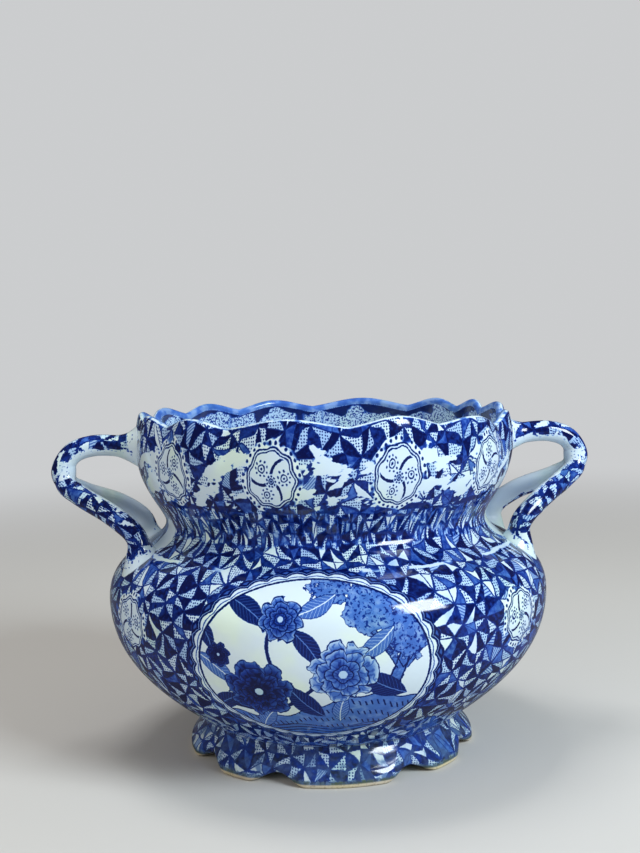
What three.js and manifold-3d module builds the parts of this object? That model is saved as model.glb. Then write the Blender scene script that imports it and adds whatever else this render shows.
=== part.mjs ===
// A two-handled jardiniere in glazed earthenware: a round bowl with a waisted neck and scalloped collar,
// a lobed foot ring under it, and a forked handle on each side.
// Millimetres and degrees. +Z is up, +X runs towards one handle and -Y is the front.
// The origin is on the pot's axis, on the plane that the foot stands on.
import * as THREE from "three";
import { mergeVertices } from "three/addons/utils/BufferGeometryUtils.js";
import Module from "manifold-3d";

// Earthenware body
const wall = 5; // thickness of the cast wall
const floorThickness = 7;
const bowlBaseRadius = 74; // where the bowl sits down on the foot
const bellyRadius = 126;
const bellyHeight = 91;
const neckRadius = 92.5;
const neckHeight = 133;
const collarRadius = 108;
const collarHeight = 172;
const rimRadius = 105.5;
const rimHeight = 188.2; // valley of the scallops, under the rounded lip

// How full each stretch of the outline is: the reach of its curve's handles
const bowlRise = 36; // angle at which the bowl leaves the foot
const bowlReach = 33;
const bellyDrop = 33; // below the belly
const shoulderRound = 28; // above the belly
const neckBelow = 14;
const neckAbove = 6;
const collarBelow = 19;
const collarAbove = 7;

// Scallops of the rim: hand-trimmed, so each valley has its own place, counted from the front
// towards the right-hand handle
const scallopValleys = [-58, -33, 2, 30, 60, 82, 104, 119, 142, 179, 208, 233, 256, 279];
const scallopDepth = 4.8; // height of a peak over its valleys
const scallopBulge = 2.6; // how far a lobe swells past its valleys
const scallopReach = 30; // how far down the collar the lobes fade out
const rimSag = 4.5; // the rim slumped a little in the kiln, to the right of the front
const rimSagAngle = 58;
const rimSagSpread = 20;

// Foot ring
const footHeight = 19.2;
const footTopRadius = 73;
const footSpread = 80.5; // radius of the outer edge near the ground
const footWall = 7.5;
const footLand = 5; // width of the flat that it stands on
const footEdge = 4.5; // height of the rounded outer edge
const footPinch = 6; // how low the waist of the foot holds its narrow radius
const wideLobe = 54; // angle of the lobes at the front, back and sides
const lobePairs = 4; // each a wide lobe and the narrow one beside it
const archHeight = 5.5; // opening between two lobes
const archHalfAngle = 12.5;
const footBulge = 2.4; // how far a lobe swells past its valleys

// Handles: an upper arm that bends over and forks into two legs. Their places are counted from the
// collar's and the belly's widest circles and from the neck.
const armRootRise = 3.2; // of the arm's root over the collar's widest circle
const armRootRadius = 9.4;
const armRadius = 6.2;
const crownOut = 25; // of the arm's highest point from the collar
const crownRise = 4.6; // over the collar's widest circle
const bendOut = 43.2; // of the bend's centre line from the collar
const bendDrop = 10; // of the bend under the collar's widest circle
const bendRound = 3; // how far the bend's shoulder stands out past a straight line from the crown
const forkOut = 32;
const forkDrop = 22.6;
const forkSpread = 9; // of a leg to each side of the handle's middle, where the legs have parted
const elbowOut = 10.5; // where a leg turns down to the shoulder
const elbowRise = 5.2; // over the neck
const elbowSpread = 26.5;
const landingInset = 19; // of a leg's landing from the belly's widest circle
const landingSpread = 32.5;
const legOverlap = 2.3; // how far the start of a leg lies inside the arm
const legRadius = 6;
const legRootRadius = 7.6;
const rootDepth = 8; // how far a handle's ends run on before they are cut to the body
const rootFlare = 12; // length over which an end widens to its root

const jointGap = 0.3; // slip joint between two pieces

// Fineness of the mesh
const columnsPerScallop = 6;
const columnsPerFootLobe = 8;
const outsideSteps = [6, 7, 6, 2]; // of the bowl, shoulder, throat and rim
const lipPoints = 4;
const tubeSides = 12;
const armSteps = 14;
const legSteps = 16;
const footCurveSteps = 4; // along each curve of the foot's section
const shoulderSamples = 60; // looked at to find a height on the shoulder

const wasm = await Module();
wasm.setup();

const glaze = (name, color) =>
  new THREE.MeshStandardMaterial({ name, color, roughness: 0.15, metalness: 0 });
const printedGlaze = glaze("printed_glaze", 0x5a6fae);
const whiteGlaze = glaze("white_glaze", 0xe4e8ec);

const radians = THREE.MathUtils.degToRad;
const fullTurn = 360;
const halfTurn = 180;
const bowlBaseHeight = footHeight + jointGap;
const floorHeight = bowlBaseHeight + floorThickness;

// Turns a closed geometry into a solid that can be joined and cut.
function toSolid(geometry) {
  const bare = geometry.clone();
  bare.deleteAttribute("normal");
  bare.deleteAttribute("uv");
  const merged = mergeVertices(bare, 1e-4);
  return new wasm.Manifold(
    new wasm.Mesh({
      numProp: 3,
      vertProperties: new Float32Array(merged.attributes.position.array),
      triVerts: new Uint32Array(merged.index.array),
    }),
  );
}

function toGeometry(solid) {
  const { vertProperties, triVerts } = solid.getMesh();
  const geometry = new THREE.BufferGeometry();
  geometry.setAttribute("position", new THREE.BufferAttribute(vertProperties, 3));
  geometry.setIndex(new THREE.BufferAttribute(triVerts, 1));
  geometry.computeVertexNormals();
  return geometry;
}

// The outside of the body as four curves, from the foot up to the rim.
function outsideCurves() {
  const base = new THREE.Vector2(bowlBaseRadius, bowlBaseHeight);
  const belly = new THREE.Vector2(bellyRadius, bellyHeight);
  const neck = new THREE.Vector2(neckRadius, neckHeight);
  const collar = new THREE.Vector2(collarRadius, collarHeight);
  const rim = new THREE.Vector2(rimRadius, rimHeight);
  const bowlHandle = new THREE.Vector2(Math.cos(radians(bowlRise)), Math.sin(radians(bowlRise)));
  const below = (point, drop) => point.clone().setY(point.y - drop);
  return [
    new THREE.CubicBezierCurve(
      base,
      base.clone().addScaledVector(bowlHandle, bowlReach),
      below(belly, bellyDrop),
      belly,
    ),
    new THREE.CubicBezierCurve(belly, below(belly, -shoulderRound), below(neck, neckBelow), neck),
    new THREE.CubicBezierCurve(neck, below(neck, -neckAbove), below(collar, collarBelow), collar),
    new THREE.QuadraticBezierCurve(collar, below(collar, -collarAbove), rim),
  ];
}

// Points along the outside, each moved outwards by offset, or inwards if it is negative.
function outsidePoints(offset) {
  return outsideCurves().flatMap((curve, index, curves) => {
    const steps = outsideSteps[index];
    const isLast = index === curves.length - 1;
    return Array.from({ length: isLast ? steps + 1 : steps }, (_, step) => {
      const tangent = curve.getTangent(step / steps);
      const outward = new THREE.Vector2(tangent.y, -tangent.x);
      return curve.getPoint(step / steps).addScaledVector(outward, offset);
    });
  });
}

// Shape of a scallop from valley (share 0) to valley (share 1): a broad peak between narrower valleys.
function scallop(share) {
  const round = Math.sin(Math.PI * share);
  return (round + round * round) / 2;
}

// Revolves a profile and bends its columns to the scallops of the rim.
function scallopedLathe(profile) {
  const count = scallopValleys.length;
  const columns = count * columnsPerScallop;
  const lathe = new THREE.LatheGeometry(profile, columns);
  const position = lathe.getAttribute("position");
  const point = new THREE.Vector3();
  for (let index = 0; index < position.count; index++) {
    point.fromBufferAttribute(position, index);
    const radius = Math.hypot(point.x, point.z);
    const column = Math.floor(index / profile.length) % columns;
    const lobe = Math.floor(column / columnsPerScallop);
    const share = (column % columnsPerScallop) / columnsPerScallop;
    const start = scallopValleys[lobe];
    const end = lobe + 1 < count ? scallopValleys[lobe + 1] : scallopValleys[0] + fullTurn;
    const angle = radians(start + (end - start) * share);
    const onAxis = radius < jointGap;
    const fade = onAxis ? 0 : THREE.MathUtils.smoothstep(point.y, rimHeight - scallopReach, rimHeight);
    const swell = scallopBulge * (scallop(share) - 0.5) * fade;
    const offSag = THREE.MathUtils.radToDeg(angle) - rimSagAngle;
    const sag = rimSag * Math.exp(-((offSag / rimSagSpread) ** 2));
    const lift = (scallopDepth * scallop(share) - sag) * fade;
    position.setXYZ(
      index,
      (radius + swell) * Math.sin(angle),
      -(radius + swell) * Math.cos(angle),
      point.y + lift,
    );
  }
  return lathe;
}

// Points along the inside, from the corner of the floor up.
function insidePoints() {
  const points = outsidePoints(-wall);
  const first = points.findIndex((point) => point.y > floorHeight);
  const [below, above] = [points[first - 1], points[first]];
  const corner = below.clone().lerp(above, (floorHeight - below.y) / (above.y - below.y));
  return [corner, ...points.slice(first)];
}

// The body's wall: outside, rounded lip, inside and floor in one closed outline.
function bodyGeometry() {
  const outside = outsidePoints(0);
  const inside = insidePoints();
  const lipTop = outside.at(-1).clone().add(inside.at(-1)).multiplyScalar(0.5);
  const lip = Array.from({ length: lipPoints - 1 }, (_, step) => {
    const angle = (Math.PI * (step + 1)) / lipPoints;
    return new THREE.Vector2(Math.cos(angle), Math.sin(angle)).multiplyScalar(wall / 2).add(lipTop);
  });
  return scallopedLathe([
    new THREE.Vector2(0, bowlBaseHeight),
    ...outside,
    ...lip,
    ...inside.reverse(),
    new THREE.Vector2(0, floorHeight),
  ]);
}

// The body's outside filled right up, and larger all round by the joint gap: what a handle is cut to.
function bodyEnvelope() {
  const outside = outsidePoints(jointGap);
  return scallopedLathe([
    new THREE.Vector2(0, outside[0].y),
    ...outside,
    new THREE.Vector2(0, outside.at(-1).y),
  ]);
}

// 1 at the valley between two foot lobes, falling to 0 where the arch meets the flat of the lobe.
function archAt(offAngle) {
  const share = Math.min(Math.abs(offAngle) / archHalfAngle, 1);
  return Math.cos((Math.PI / 2) * share) ** 2;
}

// The foot ring: a closed section revolved, then lifted into arches and swelled into lobes.
function footGeometry() {
  const innerTop = footTopRadius - footWall;
  const innerBottom = footSpread - footEdge / 2 - footLand;
  const section = new THREE.Path();
  section.moveTo(footTopRadius, footHeight);
  section.bezierCurveTo(
    footTopRadius,
    footHeight - footPinch,
    footSpread,
    2 * footEdge,
    footSpread,
    footEdge,
  );
  section.quadraticCurveTo(footSpread, 0, innerBottom + footLand, 0);
  section.lineTo(innerBottom, 0);
  section.quadraticCurveTo(innerTop, 0, innerTop, footEdge);
  section.lineTo(innerTop, footHeight);
  section.closePath();
  const profile = section.getPoints(footCurveSteps).reverse();
  const columns = 2 * lobePairs * columnsPerFootLobe;
  const lathe = new THREE.LatheGeometry(profile, columns);
  const position = lathe.getAttribute("position");
  const narrowLobe = fullTurn / lobePairs - wideLobe;
  for (let index = 0; index < position.count; index++) {
    const radius = Math.hypot(position.getX(index), position.getZ(index));
    const height = position.getY(index);
    const column = Math.floor(index / profile.length) % columns;
    const lobe = Math.floor(column / columnsPerFootLobe);
    const share = (column % columnsPerFootLobe) / columnsPerFootLobe;
    const width = lobe % 2 ? narrowLobe : wideLobe;
    const start = Math.floor(lobe / 2) * (wideLobe + narrowLobe) + (lobe % 2 ? wideLobe : 0);
    const angle = radians(start - wideLobe / 2 + share * width);
    const arch = archAt(width * Math.min(share, 1 - share));
    const low = 1 - height / footHeight;
    const reach = radius + footBulge * (1 - arch) * low - footBulge * arch * low;
    position.setXYZ(
      index,
      reach * Math.sin(angle),
      -reach * Math.cos(angle),
      height + archHeight * arch * low,
    );
  }
  return lathe;
}

// A round bar along a curve, whose radius is radiusAt(length from its start, whole length).
function bar(curve, steps, radiusAt) {
  const geometry = new THREE.CylinderGeometry(1, 1, 1, tubeSides, steps);
  const frames = curve.computeFrenetFrames(steps);
  const length = curve.getLength();
  const position = geometry.getAttribute("position");
  for (let index = 0; index < position.count; index++) {
    const share = position.getY(index) + 0.5;
    const step = Math.round(share * steps);
    const radius = radiusAt(share * length, length);
    const point = curve
      .getPointAt(share)
      .addScaledVector(frames.binormals[step], radius * position.getX(index))
      .addScaledVector(frames.normals[step], radius * position.getZ(index));
    position.setXYZ(index, point.x, point.y, point.z);
  }
  return geometry;
}

// Widens smoothly from one radius to another over the flare next to a joint.
function flared(distance, plain, root) {
  return THREE.MathUtils.lerp(root, plain, THREE.MathUtils.smoothstep(distance, 0, rootFlare));
}

// Height of the shoulder's outside where it has the given radius.
function shoulderHeightAt(radius) {
  const [, shoulder] = outsideCurves();
  const points = shoulder.getPoints(shoulderSamples);
  return points.find((point) => point.x <= radius).y;
}

// One handle on the +X side, with its ends running on into the body. Its two legs are mirror images
// in the plane Y = 0.
function handleSolid() {
  const at = (x, y, z) => new THREE.Vector3(x, y, z);
  const bendReach = collarRadius + bendOut;
  const crownReach = collarRadius + crownOut;
  const rootHeight = collarHeight + armRootRise;
  const crownHeight = collarHeight + crownRise;
  const bendHeight = collarHeight - bendDrop;
  const forkHeight = collarHeight - forkDrop;
  const elbowHeight = neckHeight + elbowRise;
  const landingReach = bellyRadius - landingInset;
  const landingHeight = shoulderHeightAt(Math.hypot(landingReach, landingSpread));
  const arm = new THREE.CatmullRomCurve3([
    at(collarRadius - rootDepth, 0, rootHeight),
    at(collarRadius, 0, rootHeight),
    at(crownReach, 0, crownHeight),
    at((crownReach + bendReach) / 2 + bendRound, 0, (crownHeight + bendHeight) / 2 + bendRound),
    at(bendReach, 0, bendHeight),
    at(bendReach - legOverlap, 0, (bendHeight + forkHeight) / 2),
  ]);
  const armBar = bar(arm, armSteps, (distance) =>
    flared(distance - rootDepth, armRadius, armRootRadius),
  );
  const legBars = [-1, 1].map((side) => {
    const leg = new THREE.CatmullRomCurve3([
      at(bendReach - legOverlap, 0, bendHeight + legOverlap),
      at(bendReach - legOverlap, side * legOverlap, (bendHeight + forkHeight) / 2),
      at(collarRadius + forkOut, side * forkSpread, forkHeight),
      at(collarRadius + elbowOut, side * elbowSpread, elbowHeight),
      at(landingReach, side * landingSpread, (elbowHeight + landingHeight) / 2),
      at(landingReach, side * landingSpread, landingHeight - rootDepth),
    ]);
    return bar(leg, legSteps, (distance, length) =>
      flared(length - distance - rootDepth, legRadius, legRootRadius),
    );
  });
  return legBars.reduce((handle, legBar) => handle.add(toSolid(legBar)), toSolid(armBar));
}

function named(name, geometry, material) {
  const mesh = new THREE.Mesh(geometry, material);
  mesh.name = name;
  return mesh;
}

const envelope = toSolid(bodyEnvelope());
const rightHandle = handleSolid();
const leftHandle = rightHandle.rotate([0, 0, halfTurn]);

const jardiniere = new THREE.Group();
jardiniere.add(
  named("pot_body", toGeometry(toSolid(bodyGeometry())), printedGlaze),
  named("foot_ring", toGeometry(toSolid(footGeometry())), printedGlaze),
  named("right_handle", toGeometry(rightHandle.subtract(envelope)), whiteGlaze),
  named("left_handle", toGeometry(leftHandle.subtract(envelope)), whiteGlaze),
);

export default jardiniere;
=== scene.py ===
"""A two-handled jardiniere in blue-printed earthenware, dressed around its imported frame.

Metres. +Z is up, -Y is the front and +X runs towards the right-hand handle. Angles round the pot are
counted from the front towards +X. Every piece carries a UV map named "print" that unrolls its surface
in millimetres, so the sizes in the patterns are real ones.
"""

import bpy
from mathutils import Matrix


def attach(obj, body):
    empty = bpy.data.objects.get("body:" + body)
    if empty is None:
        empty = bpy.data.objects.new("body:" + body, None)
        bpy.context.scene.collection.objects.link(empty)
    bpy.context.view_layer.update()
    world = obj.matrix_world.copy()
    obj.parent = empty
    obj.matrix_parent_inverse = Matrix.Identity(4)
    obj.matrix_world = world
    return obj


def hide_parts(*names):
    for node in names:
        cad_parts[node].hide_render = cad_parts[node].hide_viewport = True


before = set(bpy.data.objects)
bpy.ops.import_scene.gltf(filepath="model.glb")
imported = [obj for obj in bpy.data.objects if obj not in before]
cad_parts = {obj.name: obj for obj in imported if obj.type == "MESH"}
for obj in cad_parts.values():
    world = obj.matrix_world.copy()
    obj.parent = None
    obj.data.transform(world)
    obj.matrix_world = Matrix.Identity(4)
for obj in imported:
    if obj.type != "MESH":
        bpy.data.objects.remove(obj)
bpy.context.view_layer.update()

import logging
import math
from collections.abc import Callable, Mapping, Sequence
from dataclasses import dataclass, field
from enum import Enum
from typing import Any

import bpy
import numpy as np
from mathutils import Matrix, Vector

log = logging.getLogger("jardiniere")

Point = tuple[float, float]
Number = "float | Field"

MM = 0.001
FULL_TURN = 2 * math.pi


# ---------------------------------------------------------------- curves and meshes


def cubic(a: Point, b: Point, c: Point, d: Point, steps: int) -> list[Point]:
    """Points along a cubic curve, without its first one.

    Args:
        a: Start.
        b: Handle of the start.
        c: Handle of the end.
        d: End.
        steps: Number of points.

    Returns:
        The points, evenly spaced in the curve's own measure.
    """
    points = []
    for k in range(1, steps + 1):
        t = k / steps
        s = 1 - t
        weights = (s**3, 3 * s * s * t, 3 * s * t * t, t**3)
        points.append(tuple(sum(w * p[i] for w, p in zip(weights, (a, b, c, d))) for i in (0, 1)))
    return points


def quadratic(a: Point, b: Point, c: Point, steps: int) -> list[Point]:
    """Points along a quadratic curve from a to c that bends towards b, without its first one."""
    to_b, from_b = (tuple(p[i] + (b[i] - p[i]) * 2 / 3 for i in (0, 1)) for p in (a, c))
    return cubic(a, to_b, from_b, c, steps)


def straight(a: Point, b: Point, steps: int) -> list[Point]:
    """Evenly spaced points from a to b, without the first one."""
    return [(a[0] + (b[0] - a[0]) * k / steps, a[1] + (b[1] - a[1]) * k / steps) for k in range(1, steps + 1)]


def raised(point: Point, rise: float) -> Point:
    """The point that lies higher than the given one by a rise."""
    return (point[0], point[1] + rise)


def smoothstep(value: np.ndarray, low: float, high: float) -> np.ndarray:
    """Rises from 0 at low to 1 at high, flat at both ends."""
    t = np.clip((value - low) / (high - low), 0, 1)
    return t * t * (3 - 2 * t)


def running_length(points: Sequence[Sequence[float]]) -> np.ndarray:
    """Length walked along a polyline at each of its points."""
    steps = np.linalg.norm(np.diff(np.array(points), axis=0), axis=1)
    return np.concatenate([[0], np.cumsum(steps)])


def deselect() -> None:
    """Leaves object mode clean: nothing selected."""
    bpy.ops.object.select_all(action="DESELECT")


def activate(*pieces: bpy.types.Object) -> None:
    """Selects the given pieces alone, and makes the first one active.

    Args:
        *pieces: The pieces.
    """
    deselect()
    for piece in pieces:
        piece.select_set(True)
    bpy.context.view_layer.objects.active = pieces[0]


def finish_with(piece: bpy.types.Object, kind: str, **settings: Any) -> None:
    """Adds one modifier to the active piece and applies it.

    Args:
        piece: The piece.
        kind: The modifier's type.
        **settings: Its settings.
    """
    modifier = piece.modifiers.new(kind.lower(), kind)
    for name, value in settings.items():
        setattr(modifier, name, value)
    bpy.ops.object.modifier_apply(modifier=modifier.name)


def spin_section(name: str, section: Sequence[Point], columns: int) -> bpy.types.Object:
    """Draws a half section and spins it round the pot's axis into a closed body.

    Args:
        name: Name of the piece.
        section: Radius and height of each point, from axis to axis or closed on itself.
        columns: Number of steps in a full turn.

    Returns:
        The piece, with its doubles merged and its faces pointing out.
    """
    deselect()
    bpy.ops.mesh.primitive_plane_add(size=MM, location=(0, 0, 0))
    piece = bpy.context.object
    piece.name = name
    piece.data.name = name
    bpy.ops.object.mode_set(mode="EDIT")
    bpy.ops.mesh.select_all(action="SELECT")
    bpy.ops.mesh.merge(type="CENTER")
    radius, height = section[0]
    bpy.ops.transform.translate(value=(radius, 0, height))
    for start, end in zip(section, section[1:]):
        step = (end[0] - start[0], 0, end[1] - start[1])
        bpy.ops.mesh.extrude_region_move(TRANSFORM_OT_translate={"value": step})
    bpy.ops.mesh.select_all(action="SELECT")
    bpy.ops.mesh.spin(steps=columns, angle=FULL_TURN, center=(0, 0, 0), axis=(0, 0, 1))
    bpy.ops.mesh.select_all(action="SELECT")
    bpy.ops.mesh.remove_doubles(threshold=MM / 100)
    bpy.ops.mesh.normals_make_consistent(inside=False)
    bpy.ops.object.mode_set(mode="OBJECT")
    return piece


def read_values(items: Any, name: str, width: int = 1, kind: type = np.int32) -> np.ndarray:
    """Reads one property of all vertices, face corners or faces.

    Args:
        items: The mesh's collection.
        name: The property.
        width: How many numbers it has.
        kind: Type of the numbers.

    Returns:
        The numbers in one row.
    """
    flat = np.empty(len(items) * width, dtype=kind)
    items.foreach_get(name, flat)
    return flat


def vertex_places(piece: bpy.types.Object) -> np.ndarray:
    """The places of a piece's vertices, one row each."""
    return read_values(piece.data.vertices, "co", 3, np.float32).reshape(-1, 3).astype(float)


def move_vertices(piece: bpy.types.Object, places: np.ndarray) -> None:
    """Puts a piece's vertices at new places."""
    piece.data.vertices.foreach_set("co", places.astype(np.float32).ravel())
    piece.data.update()


def angle_of(places: np.ndarray) -> np.ndarray:
    """Angle of each place round the pot, in radians from the front towards +X."""
    return np.arctan2(places[:, 0], -places[:, 1])


def at_angle(angle: np.ndarray, radius: np.ndarray, height: np.ndarray) -> np.ndarray:
    """Places from their angles, radii and heights."""
    return np.stack([radius * np.sin(angle), -radius * np.cos(angle), height], axis=1)


def nearest_run(section: Sequence[Point], radius: np.ndarray, height: np.ndarray) -> np.ndarray:
    """Finds how far along a section each vertex lies.

    Args:
        section: The section's points.
        radius: Radius of each vertex.
        height: Height of each vertex.

    Returns:
        The length along the section at the section point nearest to each.
    """
    points = np.array(section)
    gap = (radius[:, None] - points[None, :, 0]) ** 2 + (height[:, None] - points[None, :, 1]) ** 2
    return running_length(section)[np.argmin(gap, axis=1)]


def write_map(piece: bpy.types.Object, name: str, across: np.ndarray, up: np.ndarray) -> None:
    """Adds a UV map, from its two numbers at each face corner."""
    layer = piece.data.uv_layers.new(name=name)
    layer.data.foreach_set("uv", np.stack([across, up], axis=1).astype(np.float32).ravel())


def unroll(piece: bpy.types.Object, angle: np.ndarray, run: np.ndarray, radius: float) -> None:
    """Gives a turned piece its "print" map: distance round the pot, and distance along the section.

    Args:
        piece: The piece.
        angle: Angle of each vertex, in radians.
        run: Length along the section of each vertex.
        radius: The radius at which the map is true to size.
    """
    corners = read_values(piece.data.loops, "vertex_index")
    sides = read_values(piece.data.polygons, "loop_total")
    face_of = np.repeat(np.arange(len(sides)), sides)
    places = vertex_places(piece)
    centre = np.zeros((len(sides), 3))
    np.add.at(centre, face_of, places[corners])
    middle = angle_of(centre)[face_of]
    turned = (angle[corners] - middle + math.pi) % FULL_TURN - math.pi
    on_axis = np.hypot(places[corners, 0], places[corners, 1]) < MM / 10
    turned[on_axis] = 0
    write_map(piece, "print", (middle + turned) * radius / MM, run[corners] / MM)


def shade_smooth(piece: bpy.types.Object, degrees: float) -> None:
    """Shades a piece smooth, with creases only at edges sharper than the given angle."""
    activate(piece)
    bpy.ops.object.shade_smooth_by_angle(angle=math.radians(degrees))


# ---------------------------------------------------------------- shader expressions


def operator(operation: str, swapped: bool = False) -> Callable[..., "Field"]:
    """Makes one of a field's operators.

    Args:
        operation: The Math node's operation.
        swapped: Whether this field comes last.

    Returns:
        The operator, as a method.
    """

    def method(this: "Field", *others: Number) -> "Field":
        """The operation on this field and the other, where there is one."""
        return this.sheet.math(operation, *((*others, this) if swapped else (this, *others)))

    return method


class Field:
    """A number that changes over a surface: one socket of a material, with arithmetic.

    A comparison gives 1 where it holds and 0 elsewhere, | the greater of two and & the lesser.
    """

    def __init__(self, sheet: "Sheet", socket: bpy.types.NodeSocket) -> None:
        """Wraps a socket of the given sheet."""
        self.sheet = sheet
        self.socket = socket

    __add__ = __radd__ = operator("ADD")
    __sub__ = operator("SUBTRACT")
    __rsub__ = operator("SUBTRACT", swapped=True)
    __mul__ = __rmul__ = operator("MULTIPLY")
    __truediv__ = operator("DIVIDE")
    __mod__ = operator("FLOORED_MODULO")
    __abs__ = operator("ABSOLUTE")
    __lt__ = operator("LESS_THAN")
    __gt__ = operator("GREATER_THAN")
    __or__ = operator("MAXIMUM")
    __and__ = operator("MINIMUM")

    def of(self, operation: str) -> "Field":
        """A Math node's operation on this field alone, such as FLOOR, FRACT, SQRT or SINE."""
        return self.sheet.math(operation, self)

    def wrapped(self, half: float) -> "Field":
        """This field brought between -half and half by whole periods."""
        return self.sheet.math("WRAP", self, half, -half)

    def step(self, low: Number, high: Number, start: float, end: float) -> "Field":
        """Start up to low and end from high on, with a smooth step between."""
        settings = {"interpolation_type": "SMOOTHSTEP"}
        return self.sheet.out("ShaderNodeMapRange", settings, {0: self, 1: low, 2: high, 3: start, 4: end})

    def rise(self, low: Number, high: Number) -> "Field":
        """0 up to low and 1 from high on, with a smooth step between."""
        return self.step(low, high, 0.0, 1.0)

    def fall(self, low: Number, high: Number) -> "Field":
        """1 up to low and 0 from high on, with a smooth step between."""
        return self.step(low, high, 1.0, 0.0)

    def towards(self, other: Number, share: Number) -> "Field":
        """This field, faded to the other by a share from 0 to 1."""
        return self.sheet.out("ShaderNodeMix", {"data_type": "FLOAT"}, {0: share, 2: self, 3: other})


@dataclass(frozen=True)
class Spot:
    """A point of a pattern: two fields, across and up."""

    x: Field
    y: Field

    def moved(self, x: float, y: float) -> "Spot":
        """The same point, counted from another origin."""
        return Spot(self.x - x, self.y - y)

    def length(self) -> Field:
        """Distance from the origin."""
        vector = self.x.sheet.vector(self.x, self.y)
        return self.x.sheet.out("ShaderNodeVectorMath", {"operation": "LENGTH"}, {0: vector}, "Value")

    def bearing(self) -> Field:
        """Angle round the origin, in radians."""
        return self.x.sheet.math("ARCTAN2", self.y, self.x)


class Sheet:
    """The nodes of one material or of one stamp, and the one place where nodes are made."""

    def __init__(self, tree: bpy.types.NodeTree) -> None:
        """Starts an empty sheet on a tree of nodes."""
        self.tree = tree
        self.tree.nodes.clear()

    def stamp(self, name: str, draw: Callable[..., "Field"], *values: Number) -> Field:
        """Draws something that is used again and again: its nodes are made once, as a group.

        Args:
            name: Name of the group, which is made at its first use.
            draw: Makes the nodes, from the group's sheet and a field for each value.
            *values: The numbers of this use.

        Returns:
            What the drawing gives here.
        """
        group = bpy.data.node_groups.get(name)
        if group is None:
            group = bpy.data.node_groups.new(name, "ShaderNodeTree")
            for number in range(len(values)):
                group.interface.new_socket(f"value {number}", in_out="INPUT", socket_type="NodeSocketFloat")
            group.interface.new_socket("ink", in_out="OUTPUT", socket_type="NodeSocketFloat")
            inner = Sheet(group)
            source = inner.node("NodeGroupInput").outputs
            ink = draw(inner, *(Field(inner, source[number]) for number in range(len(values))))
            inner.node("NodeGroupOutput", None, {0: ink})
        return self.out("ShaderNodeGroup", {"node_tree": group}, dict(enumerate(values)))

    def node(
        self, kind: str, settings: Mapping[str, Any] | None = None, inputs: Mapping[Any, Any] | None = None
    ) -> bpy.types.Node:
        """Makes one node.

        Args:
            kind: The node's type.
            settings: Its settings, which are set first.
            inputs: A value, Field or socket for each input, by name or place.

        Returns:
            The node.
        """
        made = self.tree.nodes.new(kind)
        for key, value in (settings or {}).items():
            setattr(made, key, value)
        for key, value in (inputs or {}).items():
            if isinstance(value, Field):
                self.tree.links.new(value.socket, made.inputs[key])
            elif isinstance(value, bpy.types.NodeSocket):
                self.tree.links.new(value, made.inputs[key])
            else:
                made.inputs[key].default_value = value
        return made

    def out(
        self,
        kind: str,
        settings: Mapping[str, Any] | None = None,
        inputs: Mapping[Any, Any] | None = None,
        output: int | str = 0,
    ) -> Field:
        """Makes one node, and gives one of its outputs as a field."""
        return Field(self, self.node(kind, settings, inputs).outputs[output])

    def math(self, operation: str, *values: Number) -> Field:
        """One Math node on one to three fields or numbers."""
        return self.out("ShaderNodeMath", {"operation": operation}, dict(enumerate(values)))

    def vector(self, x: Number, y: Number, z: Number = 0.0) -> bpy.types.NodeSocket:
        """Joins numbers into a vector."""
        return self.node("ShaderNodeCombineXYZ", None, {0: x, 1: y, 2: z}).outputs[0]

    def parts(self, vector: bpy.types.NodeSocket) -> tuple[Field, Field, Field]:
        """Takes a vector apart."""
        outputs = self.node("ShaderNodeSeparateXYZ", None, {0: vector}).outputs
        return Field(self, outputs[0]), Field(self, outputs[1]), Field(self, outputs[2])

    def blend(self, a: Any, b: Any, share: Number) -> bpy.types.NodeSocket:
        """Fades one vector to another by a share from 0 to 1."""
        return self.node("ShaderNodeMix", {"data_type": "VECTOR"}, {0: share, 4: a, 5: b}).outputs[1]

    def map_spot(self, name: str) -> Spot:
        """The surface's place on one of its own maps."""
        x, y, _ = self.parts(self.node("ShaderNodeUVMap", {"uv_map": name}).outputs[0])
        return Spot(x, y)

    def ragged(self, at: Spot, size: float = 1.2 * MM, reach: float = 0.75) -> Spot:
        """A map place shifted a little by chance, so that drawn edges come out ragged.

        Args:
            at: The place, in millimetres.
            size: Size of the raggedness, in metres.
            reach: How far an edge is pulled, in millimetres.

        Returns:
            The shifted place.
        """
        inputs = {"Vector": self.place(), "Scale": 1 / size, "Detail": 1.0}
        x, y, _ = self.parts(self.node("ShaderNodeTexNoise", None, inputs).outputs["Color"])
        return Spot(at.x + (x - 0.5) * reach, at.y + (y - 0.5) * reach)

    def place(self) -> bpy.types.NodeSocket:
        """The object's own coordinates, in metres."""
        return self.node("ShaderNodeTexCoord").outputs["Object"]

    def noise(self, size: float, detail: float = 2.0, where: Any = None, roughness: float = 0.5) -> Field:
        """Soft noise from 0 to 1.

        Args:
            size: Size of its blotches, in metres, or in the units of where.
            detail: Octaves.
            where: A vector socket, or None for the object's coordinates.
            roughness: How strong the small octaves are.

        Returns:
            The noise.
        """
        source = self.place() if where is None else where
        inputs = {"Vector": source, "Scale": 1 / size, "Detail": detail, "Roughness": roughness}
        return self.out("ShaderNodeTexNoise", None, inputs, "Fac")

    def chance(self, x: Number, y: Number, z: Number = 0.0) -> bpy.types.Node:
        """White noise on whole numbers: the same triple always gives the same value and colour."""
        return self.node("ShaderNodeTexWhiteNoise", {"noise_dimensions": "3D"}, {0: self.vector(x, y, z)})

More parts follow.
